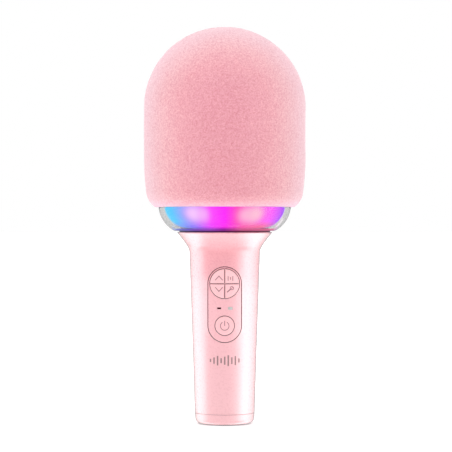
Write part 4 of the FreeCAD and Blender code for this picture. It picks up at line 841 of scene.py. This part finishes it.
def sleeve_heatshrink_blue():
    mat = Mat("sleeve_heatshrink_blue")
    wrinkles = mat.noise(150.0, detail=4.0, rough=0.6, vector=mat.stretch(1, 1, 0.25))
    mat.set(
        Base_Color=mat.two_tone(wrinkles, srgb(36, 84, 150), srgb(48, 104, 172)),
        Roughness=0.28,
        Coat_Weight=0.4,
    )
    mat.bump(wrinkles, strength=0.3, distance=0.0001)
    return mat


give(board_green_mask(), "main_board", "charging_board")
give(
    plastic("plunger_black", srgb(22, 22, 24), rough=0.4, blotch=0.1),
    "key_up_plunger", "key_mode_plunger", "key_down_plunger", "key_voice_plunger",
    "power_key_plunger",
)
give(metal("switch_cover", srgb(205, 205, 208), rough=0.32, lines=(12, 1, 1)), "key_switches")
give(metal("module_can_tinned", srgb(196, 196, 198), rough=0.26), "wireless_module")
give(
    plastic("chip_resin", srgb(34, 34, 36), rough=0.55, blotch=0.12, grain=1800.0),
    "board_components",
)
give(metal("cell_nickel", srgb(200, 200, 204), rough=0.3, lines=(1, 1, 20)), "battery_cell")
give(metal("socket_stainless", srgb(205, 205, 208), rough=0.25), "charging_socket")
give(sleeve_heatshrink_blue(), "battery_sleeve")
give(jacket("lead_red", srgb(176, 28, 26)), "speaker_leads")
give(jacket("cable_grey", srgb(112, 112, 116)), "capsule_cable")
give(jacket("lead_white", srgb(225, 225, 220)), "lamp_lead")
give(jacket("lead_black", srgb(30, 30, 32)), "power_leads")

# ------------------------------------------------------------------ printed symbols

INK_RISE, INK_SINK = 0.00002, 0.00004  # ink faces in front of and behind the surface
INK_STEP = 0.00022  # longest step along a stroke
MITRE_LIMIT = 0.45  # keeps sharp corners from running out
LINE = 0.00050  # stroke width of the key symbols


def dense(points, closed):
    """(x, z) points as vectors, with others put in between so strokes follow the surface."""
    points = [Vector((x, 0.0, z)) for x, z in points]
    if closed:
        points.append(points[0].copy())
    out = []
    for a, b in zip(points, points[1:]):
        count = max(1, math.ceil((b - a).length / INK_STEP))
        out += [a + (b - a) * (i / count) for i in range(count)]
    if not closed:
        out.append(points[-1])
    return out


def across(direction):
    """The direction turned a quarter in the xz plane."""
    return Vector((-direction.z, 0, direction.x))


def round_end(point, direction, outward, radius):
    """Two rows closing a stroke; outward is -1 at its start and 1 at its end."""
    rows = []
    for degrees in (30, 60):
        a = math.radians(degrees)
        centre = point + direction * (outward * radius * math.sin(a))
        half = across(direction) * (radius * math.cos(a))
        rows.append([centre + half, centre, centre - half])
    return rows


class Print:
    """Ink on the front of a CAD part: thin closed strips that follow its surface."""

    def __init__(self, name, part, mat, body=None, slot="pink_key"):
        self.name, self.mat, self.body, self.slot = name, mat, body or part, slot
        mesh = NODES[part].data
        self.surface = BVHTree.FromPolygons(
            [v.co.copy() for v in mesh.vertices], [tuple(p.vertices) for p in mesh.polygons]
        )
        self.verts, self.faces = [], []

    def strip(self, points, width, closed=False):
        points = dense(points, closed)
        count = len(points)
        ahead = [(points[(i + 1) % count] - points[i]).normalized() for i in range(count)]
        if not closed:
            ahead[-1] = ahead[-2]
        rows = []
        for i, point in enumerate(points):
            before = ahead[i - 1] if i or closed else ahead[0]
            side = across((before + ahead[i]).normalized())
            mitre = 1.0 / max(MITRE_LIMIT, side.dot(across(before)))
            half = side * width / 2 * mitre
            left, right = point + half, point - half
            rows.append([left, left.lerp(right, 0.5), right])
        if not closed:
            start = round_end(points[0], ahead[0], -1, width / 2)
            rows = start[::-1] + rows + round_end(points[-1], ahead[-1], 1, width / 2)
        self.lay(rows, closed)

    def lay(self, rows, closed):
        """Drops the rows on the surface and closes them; leaves out a strip that misses it."""
        top, bottom = [], []
        for row in rows:
            for p in row:
                hit = self.surface.ray_cast(Vector((p.x, -0.2, p.z)), Vector((0, 1, 0)))[0]
                if hit is None:
                    return
                top.append(Vector((p.x, hit.y - INK_RISE, p.z)))
                bottom.append(Vector((p.x, hit.y + INK_SINK, p.z)))
        base, under = len(self.verts), len(top)
        self.verts += top + bottom
        columns, last = len(rows[0]), len(rows) - 1

        def quad(*corners, flip=False):
            self.faces.append(tuple(base + k for k in (corners[::-1] if flip else corners)))

        def wall(a, b, flip):
            quad(a, b, under + b, under + a, flip=flip)

        for i in range(len(rows) if closed else last):
            this, following = i * columns, (i + 1) % len(rows) * columns
            for c in range(columns - 1):
                a, b = this + c, following + c
                quad(a, a + 1, b + 1, b)
                quad(under + a, under + a + 1, under + b + 1, under + b, flip=True)
            for c, flip in ((0, False), (columns - 1, True)):
                wall(this + c, following + c, flip)
        if not closed:
            for i, flip in ((0, True), (last, False)):
                for c in range(columns - 1):
                    wall(i * columns + c, i * columns + c + 1, flip)

    def done(self):
        made = mesh_object(self.name, self.verts, self.faces, smooth=False)
        mesh = bmesh.new()
        mesh.from_mesh(made.data)
        bmesh.ops.recalc_face_normals(mesh, faces=mesh.faces)
        mesh.to_mesh(made.data)
        mesh.free()
        made.data.materials.append(self.mat.material)
        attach(made, self.body)


def print_ink(name, first, second, rough, metallic=0.0):
    mat = Mat(name)
    mat.set(
        Base_Color=mat.two_tone(mat.noise(1800.0), first, second, over=(0.35, 0.7)),
        Roughness=mat.span(mat.noise(900.0, detail=2.0), to=rough),
        Metallic=metallic,
    )
    mat.bump(mat.noise(2600.0, detail=2.0), strength=0.3, distance=0.00001)
    return mat


def placed(centre_z, *points):
    """Points in mm about a height on the centre line, in metres."""
    return [(x * MM, centre_z + z * MM) for x, z in points]


def circle_point(radius, degrees, x=0.0, z=0.0):
    a = math.radians(degrees)
    return x + radius * math.cos(a), z + radius * math.sin(a)


rose = print_ink("print_dusty_rose", srgb(150, 106, 114), srgb(168, 122, 130), rough=(0.45, 0.6))
taupe = print_ink(
    "print_taupe", srgb(146, 118, 118), srgb(164, 134, 134), rough=(0.4, 0.55), metallic=0.15
)
KEYS_Z = (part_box("key_up")[0].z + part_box("key_down")[1].z) / 2
POWER_LO, POWER_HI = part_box("power_key")
POWER_Z = (POWER_LO.z + POWER_HI.z) / 2
MARK_Z = BARREL_LO.z + 0.296 * (BARREL_HI.z - BARREL_LO.z)


def print_arrows():
    """A chevron on the up key and its mirror on the down key."""
    for way, sign in (("up", 1), ("down", -1)):
        symbol = Print(f"symbol_{way}", f"key_{way}", rose)
        chevron = (-5.5, sign * 2.2), (-3.4, sign * 4.5), (-1.3, sign * 2.2)
        symbol.strip(placed(KEYS_Z, *chevron), LINE)
        symbol.done()


def print_effect():
    """Three upright strokes, the middle one shorter."""
    symbol = Print("symbol_effect", "key_mode", rose)
    for x, low, high in ((2.0, 1.9, 4.3), (3.4, 2.5, 3.7), (4.8, 1.9, 4.3)):
        symbol.strip(placed(KEYS_Z, (x, low), (x, high)), LINE)
    symbol.done()


def print_voice():
    """A slanting microphone: handle, round head and a bar across the head."""
    symbol = Print("symbol_voice", "key_voice", rose)
    symbol.strip(placed(KEYS_Z, (1.55, -4.85), (3.25, -3.4)), LINE * 1.35)
    head = [circle_point(1.0, degrees, x=4.25, z=-2.6) for degrees in range(0, 360, 12)]
    symbol.strip(placed(KEYS_Z, *head), LINE * 0.8, closed=True)
    symbol.strip(placed(KEYS_Z, (3.55, -3.3), (4.95, -1.95)), LINE * 0.6)
    symbol.done()


def print_power():
    """A ring open at the top with a stroke through the gap."""
    half_gap, steps = 34, 40  # degrees, steps round the ring
    turn = 360 - 2 * half_gap
    ring = [circle_point(2.52, 90 + half_gap + turn * i / steps, z=-0.1) for i in range(steps + 1)]
    symbol = Print("symbol_power", "power_key", rose)
    symbol.strip(placed(POWER_Z, *ring), LINE * 0.9)
    symbol.strip(placed(POWER_Z, (0, 0.1), (0, 2.75)), LINE * 0.9)
    symbol.done()


def print_level_bars():
    """Nine upright bars on the lower handle."""
    heights = [1.9, 3.8, 5.6, 3.0, 4.8, 6.4, 4.0, 5.4, 2.5]
    pitch, end = 2.1, 0.35  # mm; each stroke stops short by the end
    symbol = Print("level_bars_mark", "handle_barrel", taupe, body="body", slot="pink_gloss")
    for i, height in enumerate(heights):
        x = (i - 4) * pitch
        symbol.strip(placed(MARK_Z, (x, -height / 2 + end), (x, height / 2 - end)), 0.00085)
    symbol.done()


print_arrows()
print_effect()
print_voice()
print_power()
print_level_bars()

# ------------------------------------------------------------------ floor

FLOOR_HALF, FLOOR_Z = 30, -0.0002


def floor_pale():
    """Pale floor that brightens to white away from the microphone."""
    mat = Mat("floor_pale")
    x, y, _ = mat.xyz()
    radius = mat.math("SQRT", mat.square_sum(x, y))
    far = mat.span(radius, over=(0.10, 0.55))
    cloud = mat.noise(6.0, detail=4.0)
    mat.set(
        Base_Color=mat.two_tone(cloud, (0.80, 0.80, 0.80, 1), (0.82, 0.82, 0.82, 1)),
        Roughness=0.7,
        Specular_IOR_Level=0.1,
        Emission_Color=(1, 1, 1, 1),
        Emission_Strength=mat.span(far, over=(0.0, 1.0), to=(0.38, 1.0)),
        # clear from below, so the cap can be seen
        Alpha=mat.inverse(mat.geometry("Backfacing")),
    )
    return mat


def build_floor():
    corners = [(-1, -1), (1, -1), (1, 1), (-1, 1)]
    verts = [(x * FLOOR_HALF, y * FLOOR_HALF, FLOOR_Z) for x, y in corners]
    floor = mesh_object("floor", verts, [(0, 1, 2, 3)], smooth=False)
    floor.data.materials.append(floor_pale().material)
    floor.visible_glossy = False
    floor.visible_transmission = False


build_floor()

# ------------------------------------------------------------------ world

# surround brightness by direction: (degrees from the front, positive to the right, brightness)
GLOSSY = [
    (-180, 0.42), (-162, 0.46), (-148, 0.8), (-136, 1.6), (-116, 2.7), (-98, 3.2), (-82, 2.7),
    (-67, 1.0), (-52, 0.38), (-20, 0.22), (10, 0.24), (24, 0.5), (36, 1.0), (48, 1.9),
    (60, 3.2), (72, 4.5), (88, 4.5), (102, 3.3), (122, 1.9), (138, 1.0), (150, 0.6),
    (162, 0.44), (180, 0.42),
]
GLOSSY_BELOW = [
    (-180, 0.7), (-150, 1.0), (-128, 2.6), (-112, 3.2), (-96, 1.5), (-80, 0.7), (0, 0.6),
    (60, 0.8), (78, 1.2), (92, 2.2), (108, 3.3), (125, 3.2), (150, 1.2), (180, 0.7),
]
THROUGH_CLEAR = [
    (-180, 0.60), (-150, 0.62), (-90, 0.60), (0, 0.60), (90, 0.60), (150, 0.62), (180, 0.60),
]
DIFFUSE = [(-180, 0.80), (-90, 0.86), (0, 0.70), (90, 0.95), (180, 0.80)]


class Sky(Graph):
    """The world's nodes; each use of the coordinates has its own node."""

    @property
    def coords(self):
        return self.node("ShaderNodeTexCoord").outputs["Generated"]

    def background(self, colour, strength):
        return self.node("ShaderNodeBackground", {0: colour, 1: strength}).outputs[0]

    def surround(self, stops, tint):
        turn = self.span(self.azimuth(), over=(-math.pi, math.pi))
        top = max(value for _, value in stops)
        colours = []
        for degrees, value in stops:
            colour = (*(value / top * channel for channel in tint), 1)
            colours.append(((degrees + 180.0) / 360.0, colour))
        return self.background(self.ramp(turn, colours), top)

    def mix(self, factor, first, second):
        return self.node("ShaderNodeMixShader", {0: factor, 1: first, 2: second}).outputs[0]


def build_world():
    """A different surround for each kind of ray."""
    world = bpy.data.worlds.new("studio")
    scene.world = world
    world.use_nodes = True
    sky = Sky(world.node_tree)
    out = sky.node("ShaderNodeOutputWorld")
    rays = sky.node("ShaderNodeLightPath").outputs
    # 0 for rays that leave near level or up, 1 for rays that leave steeply down
    steep = sky.span(sky.xyz()[2], over=(-0.15, -0.7), interpolation_type="SMOOTHSTEP")
    gloss = sky.mix(
        steep,
        sky.surround(GLOSSY, tint=(1.0, 1.0, 0.985)),
        sky.surround(GLOSSY_BELOW, tint=(1.0, 1.0, 0.985)),
    )
    mixed = sky.mix(rays["Is Glossy Ray"], sky.surround(DIFFUSE, tint=(1.0, 0.985, 0.985)), gloss)
    clear = sky.surround(THROUGH_CLEAR, tint=(1.0, 1.0, 0.99))
    mixed = sky.mix(rays["Is Transmission Ray"], mixed, clear)
    seen = sky.background((1, 1, 1, 1), 1.0)
    mixed = sky.mix(rays["Is Camera Ray"], mixed, seen)
    sky.link(mixed, out.inputs[0])


build_world()

# ------------------------------------------------------------------ lights and camera

LIGHT_AIM = Vector((0, 0, 0.12))


def area_light(name, place, width, depth, power):
    light = bpy.data.lights.new(name, "AREA")
    light.shape, light.size, light.size_y = "RECTANGLE", width, depth
    light.energy = power
    made = bpy.data.objects.new(name, light)
    made.location = place
    made.rotation_euler = (LIGHT_AIM - Vector(place)).to_track_quat("-Z", "Y").to_euler()
    made.visible_glossy = False
    made.visible_camera = False
    scene.collection.objects.link(made)


def build_camera():
    data = bpy.data.cameras.new("camera")
    camera = bpy.data.objects.new("camera", data)
    camera.location = (0.00076, -1.11, 0.1181)
    camera.rotation_euler = (math.radians(90), 0, 0)
    data.sensor_width = 36.0
    data.lens = 147.35
    data.clip_start, data.clip_end = 0.05, 100
    scene.collection.objects.link(camera)
    scene.camera = camera


area_light("key_top", place=(-0.5, -1.0, 1.6), width=1.4, depth=1.0, power=7.0)
area_light("overhead", place=(0.0, 0.12, 1.7), width=0.7, depth=0.7, power=9.5)
build_camera()

scene.view_settings.view_transform = "Standard"
scene.view_settings.look = "None"
scene.cycles.use_denoising = True
scene.cycles.max_bounces = 12
scene.cycles.transmission_bounces = 10
